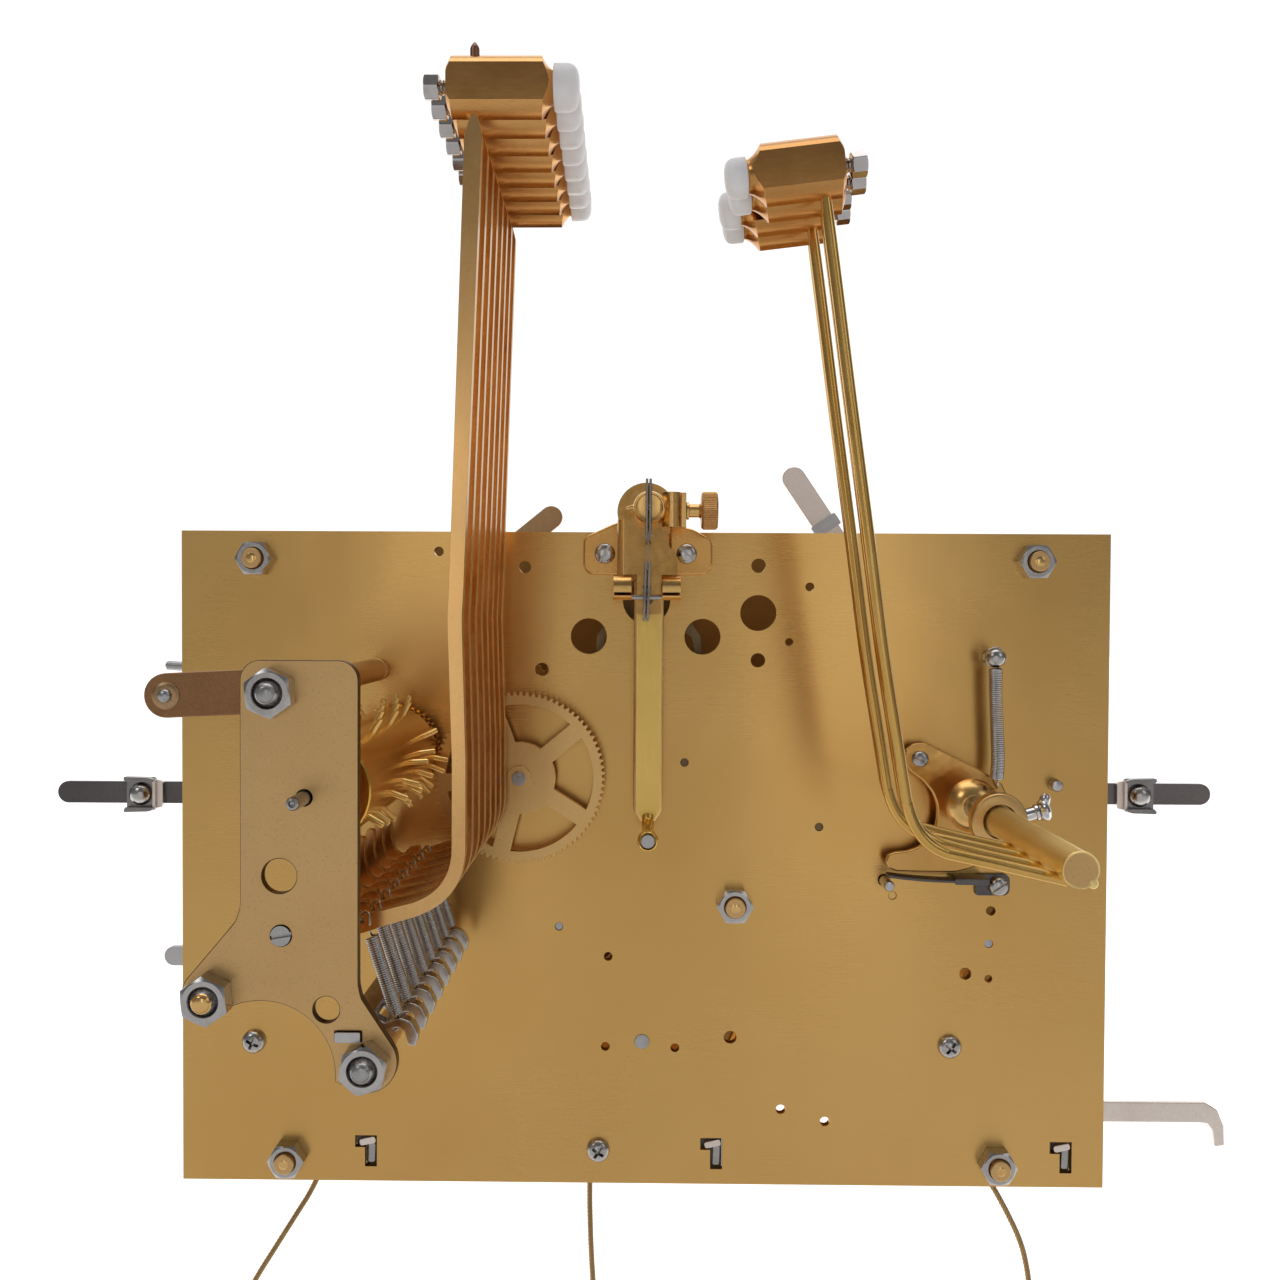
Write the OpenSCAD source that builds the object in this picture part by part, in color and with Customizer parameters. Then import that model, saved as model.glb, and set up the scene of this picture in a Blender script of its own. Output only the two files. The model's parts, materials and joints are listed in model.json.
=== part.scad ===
/* [Plates] */
// Width of the two movement plates
plate_w = 232; // [230:1:240]
// Height of the two movement plates
plate_h = 164; // [163:1:168]
// Thickness of each plate
plate_t = 2.5; // [2:0.1:3]
// Clear gap between the plates
plate_gap = 60; // [60:1:61]

/* [Chime hammers] */
// Number of chime hammers
chime_count = 8; // [8]
// Spacing of the hammers along the arbor
hammer_pitch = 9.9; // [9.6:0.1:10]
// Thickness of a stamped hammer arm
arm_t = 2.4; // [2:0.1:2.6]
// Width of a stamped hammer arm at its head
arm_w = 3.3; // [3:0.1:3.4]
// Distance from the back plate to the front face of the chime bracket
bracket_d = 92.6; // [92:0.1:94]
// Thickness of the chime bracket
bracket_t = 2; // [1.6:0.1:2.2]

/* [Strike hammers] */
// Number of strike hammers
strike_count = 4; // [4]
// Diameter of a strike hammer rod
rod_d = 2.3; // [2:0.1:2.4]

/* [Train] */
// Tooth thickness as a share of half the pitch
tooth_fill = 0.84; // [0.7:0.01:0.86]
// Radius of the cable barrels
barrel_r = 12.5; // [12:0.1:12.6]
// Diameter of the weight cables
cable_d = 1.5; // [1.2:0.1:1.5]

/* [Hidden] */

brass = "#c39a4a";
satin = "#c8a05e";
steel = "#c4c6c8";
grey = "#8d8a86";

yi = plate_gap / 2;
yb = -yi - plate_t;
yf = yi + plate_t;
yk = yb - bracket_d;

// arbor centres, as [x, z] on the plates
GB = [0, 36];
SB = [70, 36];
CB = [-70, 36];
IN = [-21, 65];
CE = [0, 87];
TH = [10.3, 106.5];
ES = [1.2, 124];
AN = [1.2, 147];
MW = [-13.6, 73.4];
S2 = [86.8, 61.4];
S3 = [62.6, 73.4];
SF = [44.1, 90.5];
SA = [81, 97];
C2 = [-55, 62.9];
CW = [-30.5, 103.1];
CD = [-60.9, 110.4];
HP = [-65.1, 85.4];

function dist(a, b) = norm([b[0] - a[0], b[1] - a[1]]);
function dirn(a, b) = atan2(b[1] - a[1], b[0] - a[0]);
function modu(a, b, na, nb) = 2 * dist(a, b) / (na + nb);
// tooth angle of gear b that lets it mesh with gear a
function mate(pa, na, nb, a, b) = let (t = dirn(a, b)) t + 180 - (pa - t) * na / nb + 180 / nb;
function pol(r, a) = [r * cos(a), r * sin(a)];
function bez(a, b, c, t) = a * (1 - t) * (1 - t) + 2 * b * t * (1 - t) + c * t * t;

m_c = modu(C2, CW, 52, 59);
CF = CW + pol(m_c * 69 / 2, 117.5);

pillar_pos = [[-97, 157], [97, 157], [-89.1, 6], [89.1, 6], [23, 71]];
phil_pos = [[-97.9, 35.3], [77.2, 35.5], [-10.9, 8.5]];
latch_pos = [[-69.6, 7.6], [17.6, 7.7], [105.4, 7.5]];
// plain oil and assembly holes in the back plate, as [x, z, radius]
oil_holes = [[-9.2, 34.7, 1.1], [8.3, 34.5, 1.1], [22.2, 37.3, 1.6], [35, 19.1, 1.2],
  [46.1, 16.1, 1.2], [87.2, 69.7, 1.2], [81, 53.8, 1.5], [86.8, 52.6, 1], [-8.6, 57.5, 1.1],
  [-29.8, 155.2, 1.5], [-25.5, 129.6, 1.7], [-51.4, 159, 1.2], [-13.8, 138, 4.5],
  [14.6, 138, 4.5], [0.6, 147, 5.9], [28.5, 155.8, 1.8], [28.5, 144, 4.5],
  [28.5, 132.2, 1.8], [36.3, 136.8, 1], [41.3, 150.6, 1.1]];
// arbor holes in both plates, as [centre, rear radius, front radius]
arbor_holes = [[GB, 1.85, 4.1], [IN, 1.05, 1.05], [CE, 1.05, 2.55], [TH, 1.05, 1.05],
  [ES, 1.05, 1.05], [S2, 1.05, 1.05], [S3, 1.05, 1.05], [SF, 1.05, 1.05], [C2, 1.05, 1.05],
  [CF, 1.05, 1.05], [CW, 1.85, 1.05], [AN, 0, 1.05], [SB, 0, 4.1], [CB, 0, 4.1],
  [SA, 3.05, 1.05], [CD, 1.3, 0], [HP, 1.9, 0]];

module cyl_y(p, y0, y1, r, n = 48)
  translate([p[0], y1, p[1]]) rotate([90, 0, 0]) cylinder(h = y1 - y0, r = r, $fn = n);
module ext_y(y0, y1)
  translate([0, y1, 0]) rotate([90, 0, 0]) linear_extrude(height = y1 - y0) children();
module at(p) translate([p[0], p[1]]) children();
// straight round bar between two points
module bar(a, b, r, n = 24) {
  v = b - a;
  l = norm(v);
  translate(a) rotate([0, acos(v[2] / l), atan2(v[1], v[0])]) cylinder(h = l, r = r, $fn = n);
}
function ngon(r, n, a0 = 0) = [for (i = [0 : n - 1]) pol(r, a0 + 360 * i / n)];

// gear tooth outline from the involute of its base circle
function inv(a) = tan(a) * 180 / PI - a;
function half(r, rb, rp, n) = 90 / n * tooth_fill + inv(20) - inv(acos(min(1, rb / max(r, rb))));
function gear_pts(n, m, ph, ad, de) = let (rp = n * m / 2, rb = rp * cos(20), rr = rp - de * m,
    ra = rp + ad * m, h0 = half(rr, rb, rp, n), h1 = half(rp, rb, rp, n), h2 = half(ra, rb, rp, n))
  [for (i = [0 : n - 1]) let (t = ph + 360 * i / n)
    each [pol(rr, t - h0), pol(rp, t - h1), pol(ra, t - h2), pol(ra, t + h2), pol(rp, t + h1), pol(rr, t + h0)]];
module wheel2(n, m, ph) polygon(gear_pts(n, m, ph, 0.65, 1.05));
module pinion2(n, m, ph) polygon(gear_pts(n, m, ph, 0.8, 0.95));
// crossed-out windows between the spokes of a wheel
module windows(k, ri, ro, w, a0)
  for (i = [0 : k - 1]) {
    a = a0 + 360 * i / k;
    b = a0 + 360 * (i + 1) / k;
    so = asin(w / 2 / ro);
    si = asin(w / 2 / ri);
    polygon(concat([for (j = [0 : 8]) pol(ro, a + so + (b - a - 2 * so) * j / 8)],
      [for (j = [4 : -1 : 0]) pol(ri, a + si + (b - a - 2 * si) * j / 4)]));
  }
module wheel(c, y0, y1, n, m, ph, k = 5, a0 = 20, hub = 0.34, w = 2.4)
  ext_y(y0, y1) at(c) difference() {
    wheel2(n, m, ph);
    windows(k, n * m / 2 * hub, n * m / 2 - 2.6 * max(m, 0.6), w, a0);
  }
module pinion(c, y0, y1, n, m, ph) ext_y(y0, y1) at(c) pinion2(n, m, ph);
// arbor with a pivot in each plate
module arbor(c, r, rp = 1) {
  cyl_y(c, -yi + 0.4, yi - 0.4, r, 12);
  cyl_y(c, -yi - plate_t + 0.3, yi + plate_t - 0.3, rp, 12);
}

// thick line of a stamped arm, from its centre line
function nrm(p, i) = let (a = p[max(0, i - 1)], b = p[min(len(p) - 1, i + 1)], d = b - a) [-d[1], d[0]] / norm(d);
module ribbon(p, w)
  polygon(concat([for (i = [0 : len(p) - 1]) p[i] + nrm(p, i) * w / 2],
    [for (i = [len(p) - 1 : -1 : 0]) p[i] - nrm(p, i) * w / 2]));

// cable tube swept along its route, 8 sides
module tube(p, r) {
  n = len(p);
  polyhedron(points = [for (i = [0 : n - 1]) let (a = p[max(0, i - 1)], b = p[min(n - 1, i + 1)],
      d = (b - a) / norm(b - a), u = [0, 1, 0], v = cross(d, u))
      for (j = [0 : 7]) p[i] + r * (u * cos(45 * j) + v * sin(45 * j))],
    faces = concat([[for (j = [0 : 7]) j]],
      [for (i = [0 : n - 2]) for (j = [0 : 7]) each let (a = i * 8 + j, b = i * 8 + (j + 1) % 8)
        [[a, a + 8, b + 8], [a, b + 8, b]]],
      [[for (j = [7 : -1 : 0]) (n - 1) * 8 + j]]));
}

// ---- plates and frame ----
module lslot(p, s = 1) at(p) union() {
  translate([-2.75, 0.95]) square([5.5, 3]);
  translate([-0.25, -3.95]) square([3, 6]);
}
module back_plate() color(brass) ext_y(yb, -yi) difference() {
  translate([-plate_w / 2, 0]) square([plate_w, plate_h]);
  for (h = oil_holes) at(h) circle(r = h[2], $fn = 40);
  for (h = arbor_holes) if (h[1] > 0) at(h[0]) circle(r = h[1], $fn = 40);
  for (p = pillar_pos) at(p) circle(r = 2.55, $fn = 40);
  for (p = phil_pos) at(p) circle(r = 1.55, $fn = 40);
  for (p = latch_pos) lslot(p);
  for (p = [[-9.8, 158.6], [10.5, 158.6], [60.4, 77.3], [88.5, 76.3], [85.7, 133.4], [102.5, 101.6]]) at(p) circle(r = 1.55, $fn = 40);
  for (p = [[-66.5, 129.4], [-78, 74.3], [-49.6, 62.1]]) at(p) circle(r = 2.05, $fn = 40);
}
module front_plate() color(brass) ext_y(yi, yf) difference() {
  translate([-plate_w / 2, 0]) square([plate_w, plate_h]);
  for (h = arbor_holes) if (h[2] > 0) at(h[0]) circle(r = h[2], $fn = 40);
  for (p = pillar_pos) at(p) circle(r = 2.55, $fn = 40);
  for (x = [-105, 105]) for (z = [30, 140]) translate([x, z]) circle(r = 2.5, $fn = 40);
  for (p = [[-95, 88.6], [95, 90], [-54, 151.6], [81, 130.6], MW]) at(p) circle(r = 1.55, $fn = 40);
}
module pillars() color(satin) for (i = [0 : 4]) {
  p = pillar_pos[i];
  low = i == 2 || i == 3;
  difference() {
    union() {
      cyl_y(p, -yi, yi, 4.2);
      cyl_y(p, yb - 5.4, yf + 5.4, 2.5);
      if (low) cyl_y(p, -7, 7, 6.5);
    }
    if (low) {
      translate([p[0] - 10, -10, -10]) cube([20, 20, 10]);
      translate([p[0], 0, -1]) cylinder(h = 10, r = 2.1, $fn = 40);
    }
  }
}
module nut(p, y0, y1, af, rb, a = 0) ext_y(y0, y1) at(p) difference() {
  rotate(a) circle(r = af / 2 / cos(30), $fn = 6);
  circle(r = rb, $fn = 40);
}
module pillar_nuts() color(steel) for (p = pillar_pos) {
  nut(p, yb - 4, yb, 8, 2.5, 30);
  nut(p, yf, yf + 4, 8, 2.5, 30);
}
module phillips_screws() color(steel) for (p = phil_pos) difference() {
  union() {
    cyl_y(p, yb - 2, yb, 2.9);
    cyl_y(p, yb, -yi + 3, 1.5);
  }
  ext_y(yb - 3, yb - 0.8) at(p) { square([3.4, 0.8], center = true); square([0.8, 3.4], center = true); }
}
module slot_screw(p, y, r, h, l, a) difference() {
  union() {
    cyl_y(p, y - h, y, r);
    cyl_y(p, y, y + l, 1.5);
  }
  ext_y(y - h - 1, y - h + 0.8) at(p) rotate(a) square([2 * r + 1, 0.8], center = true);
}
module slotted_screws() color(steel) {
  slot_screw([-9.8, 158.6], yb - 1.6, 2.5, 1.7, 3.6, 60);
  slot_screw([10.5, 158.6], yb - 1.6, 2.5, 1.7, 3.6, 140);
  slot_screw([88.5, 76.3], yb - 1.2, 2.4, 2.2, 3.2, 35);
}
module latch_tabs() color(steel) for (p = latch_pos)
  ext_y(yb + 0.6, -yi + 6) at(p) {
    translate([-2.4, 1.4]) square([4.8, 2.1]);
    translate([0.3, -3.4]) square([2.1, 5]);
  }
module plate_studs() color(steel) {
  // spring stud, leaf pin, stop pin and the pivot studs of the levers
  cyl_y([85.7, 133.4], yb - 9, -yi, 1.5);
  cyl_y([85.7, 133.4], yb - 9.6, yb - 5.6, 2.3);
  cyl_y([60.4, 77.3], yb - 8.2, -yi, 1.3);
  cyl_y([102.5, 101.6], yb - 3.4, -yi, 1.5);
  cyl_y([111, 12], -yi, -10.5, 1.5);
  cyl_y([111, 12], -12, -10.5, 2.6);
  for (p = [[-95, 88.6], [95, 90], [-54, 151.6], [81, 130.6]]) {
    cyl_y(p, yi, yf + 5.6, 1.5);
    cyl_y(p, yf + 4.2, yf + 5.6, 3.2);
  }
  cyl_y(MW, yi, yf + 11, 1.5);
  // flat tongue and pin that look out at the left edge
  ext_y(-yi, -yi + 1.6) {
    translate([-119.1, 56.1]) circle(r = 2.45, $fn = 40);
    translate([-119.1, 53.65]) square([15, 4.9]);
  }
  bar([-121.3, -yi + 1.3, 130], [-108, -yi + 1.3, 129.2], 1.2);
}

// ---- chime hammer frame ----
module bracket2() translate([-0.5, 0]) difference() {
  union() {
    translate([-68.4, 131.6]) circle(r = 3.6, $fn = 48);
    translate([-54.2, 131.6]) circle(r = 3.6, $fn = 48);
    translate([-68.4, 100]) square([14.2, 35.2]);
    translate([-72, 88]) square([21.4, 43.6]);
    polygon([[-72, 90.5], [-73.2, 87.6], [-81.3, 77.8], [-78.1, 74.6], [-75.5, 70.7], [-68, 62],
      [-49.2, 57], [-44.3, 65.4], [-50.2, 74.2], [-50.6, 76.5], [-50.6, 90.5]]);
    translate([-78.1, 74.6]) circle(r = 4.6, $fn = 48);
    translate([-49.2, 62.5]) circle(r = 5.7, $fn = 48);
  }
  translate([-68.3, 60]) circle(r = 13.5, $fn = 64);
}
module chime_bracket() color(satin) ext_y(yk, yk + bracket_t) difference() {
  bracket2();
  for (p = [[-66.5, 129.4], [-78, 74.3], [-49.6, 62.1]]) at(p) circle(r = 2.55, $fn = 40);
  at(CD) circle(r = 1.3, $fn = 40);
  translate([-65.4, 96.2]) circle(r = 3.15, $fn = 40);
  at(HP) circle(r = 1.9, $fn = 40);
  translate([-56.9, 72]) circle(r = 2.4, $fn = 40);
  translate([-55.3, 66.25]) square([4.8, 1.9]);
}
module chime_bracket_posts() color(satin) for (p = [[-66.5, 129.4], [-78, 74.3], [-49.6, 62.1]]) {
  cyl_y(p, yk + bracket_t, yb, 2.8);
  cyl_y(p, yk - 5.6, yk + bracket_t, 2.5);
  cyl_y(p, yb, -yi, 2);
}
module chime_bracket_nuts() color(steel) {
  nut([-66.5, 129.4], yk - 4, yk, 8, 2.5, 30);
  nut([-78, 74.3], yk - 4, yk, 8, 2.5, 12);
  nut([-49.6, 62.1], yk - 4, yk, 8, 2.5, 28);
}
module hammer_arbor() color(steel) difference() {
  union() {
    cyl_y(HP, yk + bracket_t, yb, 2.4);
    cyl_y(HP, yk - 0.5, -yi, 1.85);
  }
  ext_y(yk - 2, yk + 0.3) at(HP) rotate(10) square([6, 0.7], center = true);
}
function hy(k) = yb - 80.5 + hammer_pitch * (k - 1);
module spring_comb() color(steel) {
  translate([-55.2, yk - 0.9, 66.3]) cube([4.6, bracket_d + 0.9, 1.8]);
  for (k = [1 : chime_count]) ext_y(hy(k) - 1.6, hy(k) + 1.6)
    polygon([[-50.8, 67.8], [-50.8, 66.3], [-49.5, 65.3], [-48, 65], [-47, 65.2], [-45.7, 65.1], [-44.5, 64.2],
      [-43.9, 61.9], [-42.7, 61.7], [-42.4, 64], [-43.4, 65.8], [-45.6, 66.6], [-47.6, 66.2], [-48.6, 65.9], [-49.6, 66.7]]);
}
// return spring of each hammer, with its end hooks
module chime_hammer_springs() color(grey) for (k = [1 : chime_count]) {
  bar([-51.2, hy(k), 82.3], [-46.4, hy(k), 67.6], 1.35);
  bar([-46.4, hy(k), 67.8], [-46.2, hy(k), 66.5], 0.35, 12);
}

// centre line of a chime hammer arm
arm_line = concat([[-32.05, 236], [-33.7, 189], [-35.3, 145.5], [-35.4, 142.5], [-35.34, 139.5], [-34.6, 116]],
  [for (t = [0 : 0.125 : 1]) bez([-34.6, 99.5], [-34.6, 89.6], [-45, 87.2], t)],
  [[-49.5, 85.9], [-53, 84.8]]);
// share of the full arm width along its height
function arm_s(z) = lookup(z, [[84.8, 0.94], [88, 0.8], [107, 0.76], [143, 0.82], [236, 1]]);
// section of a hammer head, in depth and height
head_hex = [[-3.5, 3.45], [-3.5, -3.45], [0, -5.95], [3.5, -3.45], [3.5, 3.45], [0, 5.95]];
// head lies along +x from its screw end; parts stay separate solids
module hammer_head(l) {
  rotate([90, 0, 90]) {
    difference() {
      linear_extrude(height = l) polygon(head_hex);
      translate([0, 0, -1]) linear_extrude(height = 4) polygon(ngon(1.5, 8));
    }
    translate([0, 0, l]) linear_extrude(height = 2.2) polygon(0.78 * head_hex);
  }
}
module hammer_tip(l) rotate([90, 0, 90]) {
  translate([0, 0, l + 2.22]) linear_extrude(height = 3.2) polygon(ngon(4.5, 12));
  translate([0, 0, l + 5.42]) linear_extrude(height = 1.6) polygon(ngon(3.4, 12));
}
module hammer_screw() rotate([90, 0, 90]) {
  translate([0, 0, -1.5]) linear_extrude(height = 4.2) polygon(ngon(1.45, 8));
  translate([0, 0, -4.4]) linear_extrude(height = 2.9) polygon(ngon(2.36, 6));
}
module chime_arm2() difference() {
  union() {
    polygon(concat([for (i = [0 : len(arm_line) - 1]) arm_line[i] + nrm(arm_line, i) * arm_w / 2 * arm_s(arm_line[i][1])],
      [for (i = [len(arm_line) - 1 : -1 : 0]) arm_line[i] - nrm(arm_line, i) * arm_w / 2 * arm_s(arm_line[i][1])]));
    // bump before the spring notch, lever to the hub and lifting tail
    polygon([[-52.6, 86.3], [-54, 86], [-54.4, 87.2], [-56.6, 86.6], [-58.4, 84.9], [-60.2, 86.2],
      [-61, 89.4], [-60.9, 94.4], [-62.4, 94.6], [-63.6, 89.6], [-66, 86], [-66, 82.4], [-60, 81.6], [-53, 82.6]]);
    at(HP) polygon(ngon(4.3, 12, 15));
  }
  at(HP) polygon(ngon(2.55, 12, 15));
  translate([-53.2, 85.2]) square([0.9, 3]);
}
module chime_hammer(k) translate([HP[0], 0, HP[1]]) rotate([0, -0.04 * (k - 1), 0]) translate([-HP[0], 0, -HP[1]]) {
  y = hy(k);
  color(brass) {
    ext_y(y - arm_t / 2, y + arm_t / 2) chime_arm2();
    difference() {
      translate([-37, y, 242.7]) hammer_head(17.5);
      translate([-34.35, y - arm_t / 2 - 0.02, 230]) cube([4.6, arm_t + 0.04, 11.3]);
    }
    translate([-33.15, y - arm_t / 2, 235.5]) cube([2.2, arm_t, 5.3]);
  }
  color("#f0f0ee") translate([-37, y, 242.7]) hammer_tip(17.5);
  color(steel) translate([-37, y, 242.7]) hammer_screw();
}
module chime_hammer_1() chime_hammer(1);
module chime_hammer_2() chime_hammer(2);
module chime_hammer_3() chime_hammer(3);
module chime_hammer_4() chime_hammer(4);
module chime_hammer_5() chime_hammer(5);
module chime_hammer_6() chime_hammer(6);
module chime_hammer_7() chime_hammer(7);
module chime_hammer_8() chime_hammer(8);

// ---- suspension ----
module suspension_cock() color(brass) {
  difference() {
    union() {
      // feet on the plate
      ext_y(yb - 1.6, yb) polygon([[-15.2, 155], [-13.4, 153.4], [-6, 153.4], [-6, 166.4], [-8, 165.8], [-15, 162.4]]);
      ext_y(yb - 1.6, yb) polygon([[6.2, 153.4], [14.8, 153.4], [16.9, 155.2], [16.9, 161.4], [13.4, 164], [8, 166], [6.2, 166]]);
      // side walls and the face that carries the stud
      ext_y(yb - 9, yb) polygon([[-6.6, 153.2], [-5.2, 153.2], [-5.2, 166.5], [-6.6, 166.5]]);
      ext_y(yb - 9, yb) polygon([[6.8, 153.2], [8, 153.2], [8, 157.8], [6.8, 157.8]]);
      ext_y(yb - 9, yb - 7.4) polygon([[-6.6, 153.2], [8, 153.2], [8, 158], [5.4, 160], [5.6, 162], [7.4, 164], [7.4, 168.4], [-6.6, 168.4]]);
      cyl_y([0.5, 168.4], yb - 9, yb - 7.4, 7.1);
      cyl_y([1.2, 168.6], yb - 22, yb - 9, 3.85);
      // block for the thumb screw
      translate([4.2, yb - 16.5, 164.4]) cube([5.8, 9.1, 8.3]);
      // rolled lugs below the face
      translate([-7.5, yb - 10.25, 150]) rotate([0, 90, 0]) cylinder(h = 4.6, r = 3.1, $fn = 48);
      translate([4.3, yb - 10.25, 150]) rotate([0, 90, 0]) cylinder(h = 4.6, r = 3.1, $fn = 48);
      // tongue with the rear anchor bearing
      ext_y(yb - 9, yb - 7.4) translate([-1.8, 143.6]) square([6, 10]);
    }
    for (x = [-9.8, 10.5]) cyl_y([x, 158.6], yb - 3, yb + 1, 1.6);
    cyl_y(AN, yb - 12, yb, 1.05);
    translate([-0.4, yb - 23, 160]) cube([2.8, 14, 20]);
    translate([7.2, yb - 12, 168.5]) rotate([0, 90, 0]) cylinder(h = 4, r = 1.85, $fn = 40);
    for (x = [-8, 4]) translate([x, yb - 14, 148.2]) cube([6, 4, 0.5]);
  }
}
module beat_screw() color(brass) {
  translate([7.4, yb - 12, 168.5]) rotate([0, 90, 0]) cylinder(h = 6.4, r = 1.8, $fn = 40);
  translate([13.6, yb - 12, 168.5]) rotate([0, 90, 0]) linear_extrude(height = 4)
    polygon([for (i = [0 : 71]) pol(i % 2 == 0 ? 4.55 : 4.3, 5 * i)]);
}
module suspension_spring() color(grey) {
  translate([0.8, yb - 20.5, 143]) cube([0.4, 8, 30]);
  translate([0.4, yb - 21.2, 161]) cube([1.2, 9.4, 14.3]);
  translate([0.4, yb - 21.2, 142]) cube([1.2, 9.4, 13.8]);
}
module anchor() color(steel) {
  cyl_y(AN, -30, yi - 0.4, 2);
  cyl_y(AN, yb - 8.8, yi + plate_t - 0.3, 1);
  cyl_y(AN, yb - 7.1, -29, 1.9);
  ext_y(-21, -17.4) at(AN) difference() {
    polygon([[-4, 4], [4, 4], [13.4, -9], [14, -16.6], [12.2, -16], [11.2, -9.6], [3, -3.4], [-3, -3.4],
      [-11.2, -9.6], [-12.2, -16], [-14, -16.6], [-13.4, -9]]);
  }
}
module crutch() color(satin) {
  ext_y(yb - 7, yb - 5.4) at(AN) difference() {
    union() {
      translate([-3.6, -50]) square([7.2, 55.4]);
      polygon([[-3.6, -50], [-3.6, -51.4], [-1.6, -54.4], [-1.6, -56.8], [1.6, -56.8], [1.6, -54.4], [3.6, -51.4], [3.6, -50]]);
      translate([0, -56.8]) circle(r = 1.9, $fn = 48);
    }
    circle(r = 1.93, $fn = 40);
  }
  cyl_y(AN + [0, -56.8], yb - 21, yb - 7, 1.5);
  cyl_y(AN + [0, -56.8], yb - 20.7, yb - 17.4, 2.46);
}

// ---- going train ----
g_i = 96;
m_gi = modu(GB, IN, 96, 16);
m_ic = modu(IN, CE, 72, 12);
m_ct = modu(CE, TH, 75, 10);
m_te = modu(TH, ES, 80, 10);
m_cm = modu(CE, MW, 16, 48);
m_mh = modu(MW, CE, 12, 48);
module barrel(c, rear, yr) {
  cyl_y(c, -22, 6, barrel_r, 12);
  for (y = [-23.5, 5.5]) ext_y(y, y + 1.5) at(c) polygon(ngon(barrel_r + 2.6, 48));
  // ratchet on the drum end
  ext_y(12.2, 14) at(c) polygon([for (i = [0 : 47]) pol(i % 2 == 0 ? 10 : 8.4, 7.5 * i + (i % 2 == 0 ? 5 : 0))]);
  cyl_y(c, yr, yf + 6, 4, 12);
  cyl_y(c, rear, yr, 1.8, 12);
  // winding square
  ext_y(yf + 6, yf + 22) at(c) square([5.2, 5.2], center = true);
}
module great_wheel(c, d, n, np) {
  m = modu(c, d, n, np);
  ext_y(8, 11) at(c) difference() {
    wheel2(n, m, dirn(c, d));
    polygon(ngon(4.35, 12));
    windows(5, 11.5, n * m / 2 - 2.8, 5, 30);
  }
}
module great_pinion(c, d, n, np, y0 = 7.4, y1 = 11.6)
  pinion(d, y0, y1, np, modu(c, d, n, np), mate(dirn(c, d), n, np, c, d));
module going_barrel() color(brass) barrel(GB, yb - 0.2, -29.6);
module going_great_wheel() color(brass) great_wheel(GB, IN, 96, 16);
module going_intermediate_wheel() color(brass) {
  arbor(IN, 2);
  great_pinion(GB, IN, 96, 16);
  wheel(IN, 21, 23, 72, m_ic, dirn(IN, CE));
}
module centre_wheel() color(brass) {
  cyl_y(CE, -yi + 0.4, yi - 0.4, 2.2, 12);
  cyl_y(CE, yb + 0.3, -29, 1, 12);
  cyl_y(CE, yi - 1, yf + 27, 2, 12);
  pinion(CE, 20.4, 23.6, 12, m_ic, mate(dirn(IN, CE), 72, 12, IN, CE));
  wheel(CE, 2, 4, 75, m_ct, dirn(CE, TH));
  // cannon pinion and pipe, friction tight on the arbor
  ext_y(yf + 1.4, yf + 4.6) at(CE) difference() { pinion2(16, m_cm, dirn(CE, MW)); polygon(ngon(2.02, 12)); }
  ext_y(yf + 4.6, yf + 23) at(CE) difference() { polygon(ngon(3.1, 12)); polygon(ngon(2.02, 12)); }
}
module third_wheel() color(brass) {
  arbor(TH, 1.7);
  pinion(TH, 1.4, 4.6, 10, m_ct, mate(dirn(CE, TH), 75, 10, CE, TH));
  wheel(TH, -12, -10, 80, m_te, dirn(TH, ES));
}
module escape_wheel() color(brass) {
  arbor(ES, 1.6);
  pinion(ES, -12.6, -9.4, 10, m_te, mate(dirn(TH, ES), 80, 10, TH, ES));
  ext_y(-20, -18.4) at(ES) difference() {
    polygon([for (i = [0 : 29]) each [pol(10.2, 12 * i), pol(12.4, 12 * i + 7.5), pol(12.4, 12 * i + 8.6), pol(10.2, 12 * i + 9.4)]]);
    windows(5, 4, 8.4, 1.8, 10);
  }
}
module minute_wheel() color(brass) {
  ext_y(yf + 1.6, yf + 4.4) at(MW) difference() { wheel2(48, m_cm, mate(dirn(CE, MW), 16, 48, CE, MW)); polygon(ngon(1.6, 12)); }
  ext_y(yf + 4.4, yf + 10) at(MW) difference() { pinion2(12, m_mh, dirn(MW, CE)); polygon(ngon(1.6, 12)); }
}
module hour_wheel() color(brass) {
  ext_y(yf + 6.6, yf + 8.8) at(CE) difference() { wheel2(48, m_mh, mate(dirn(MW, CE), 12, 48, MW, CE)); polygon(ngon(3.4, 12)); }
  ext_y(yf + 8.8, yf + 18) at(CE) difference() { polygon(ngon(5, 12)); polygon(ngon(3.4, 12)); }
}

// ---- strike train ----
m_s2 = modu(S2, S3, 56, 12);
m_s3 = modu(S3, SF, 54, 10);
module strike_barrel() color(brass) barrel(SB, -29.7, -29.6);
module strike_great_wheel() color(brass) great_wheel(SB, S2, 84, 12);
module strike_second_wheel() color(brass) {
  arbor(S2, 2);
  great_pinion(SB, S2, 84, 12);
  wheel(S2, 15, 17, 56, m_s2, dirn(S2, S3));
}
module strike_third_wheel() color(brass) {
  arbor(S3, 1.8);
  pinion(S3, 14.4, 17.6, 12, m_s2, mate(dirn(S2, S3), 56, 12, S2, S3));
  wheel(S3, 21, 23, 54, m_s3, dirn(S3, SF));
}
module fly_vanes(c, r, y0, y1, a) ext_y(y0, y1) at(c) rotate(a) square([2 * r, 0.8], center = true);
module strike_fly() color(brass) {
  arbor(SF, 1.5);
  pinion(SF, 20.4, 23.6, 10, m_s3, mate(dirn(S3, SF), 54, 10, S3, SF));
  fly_vanes(SF, 14.5, -15, 10, 35);
}

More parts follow.
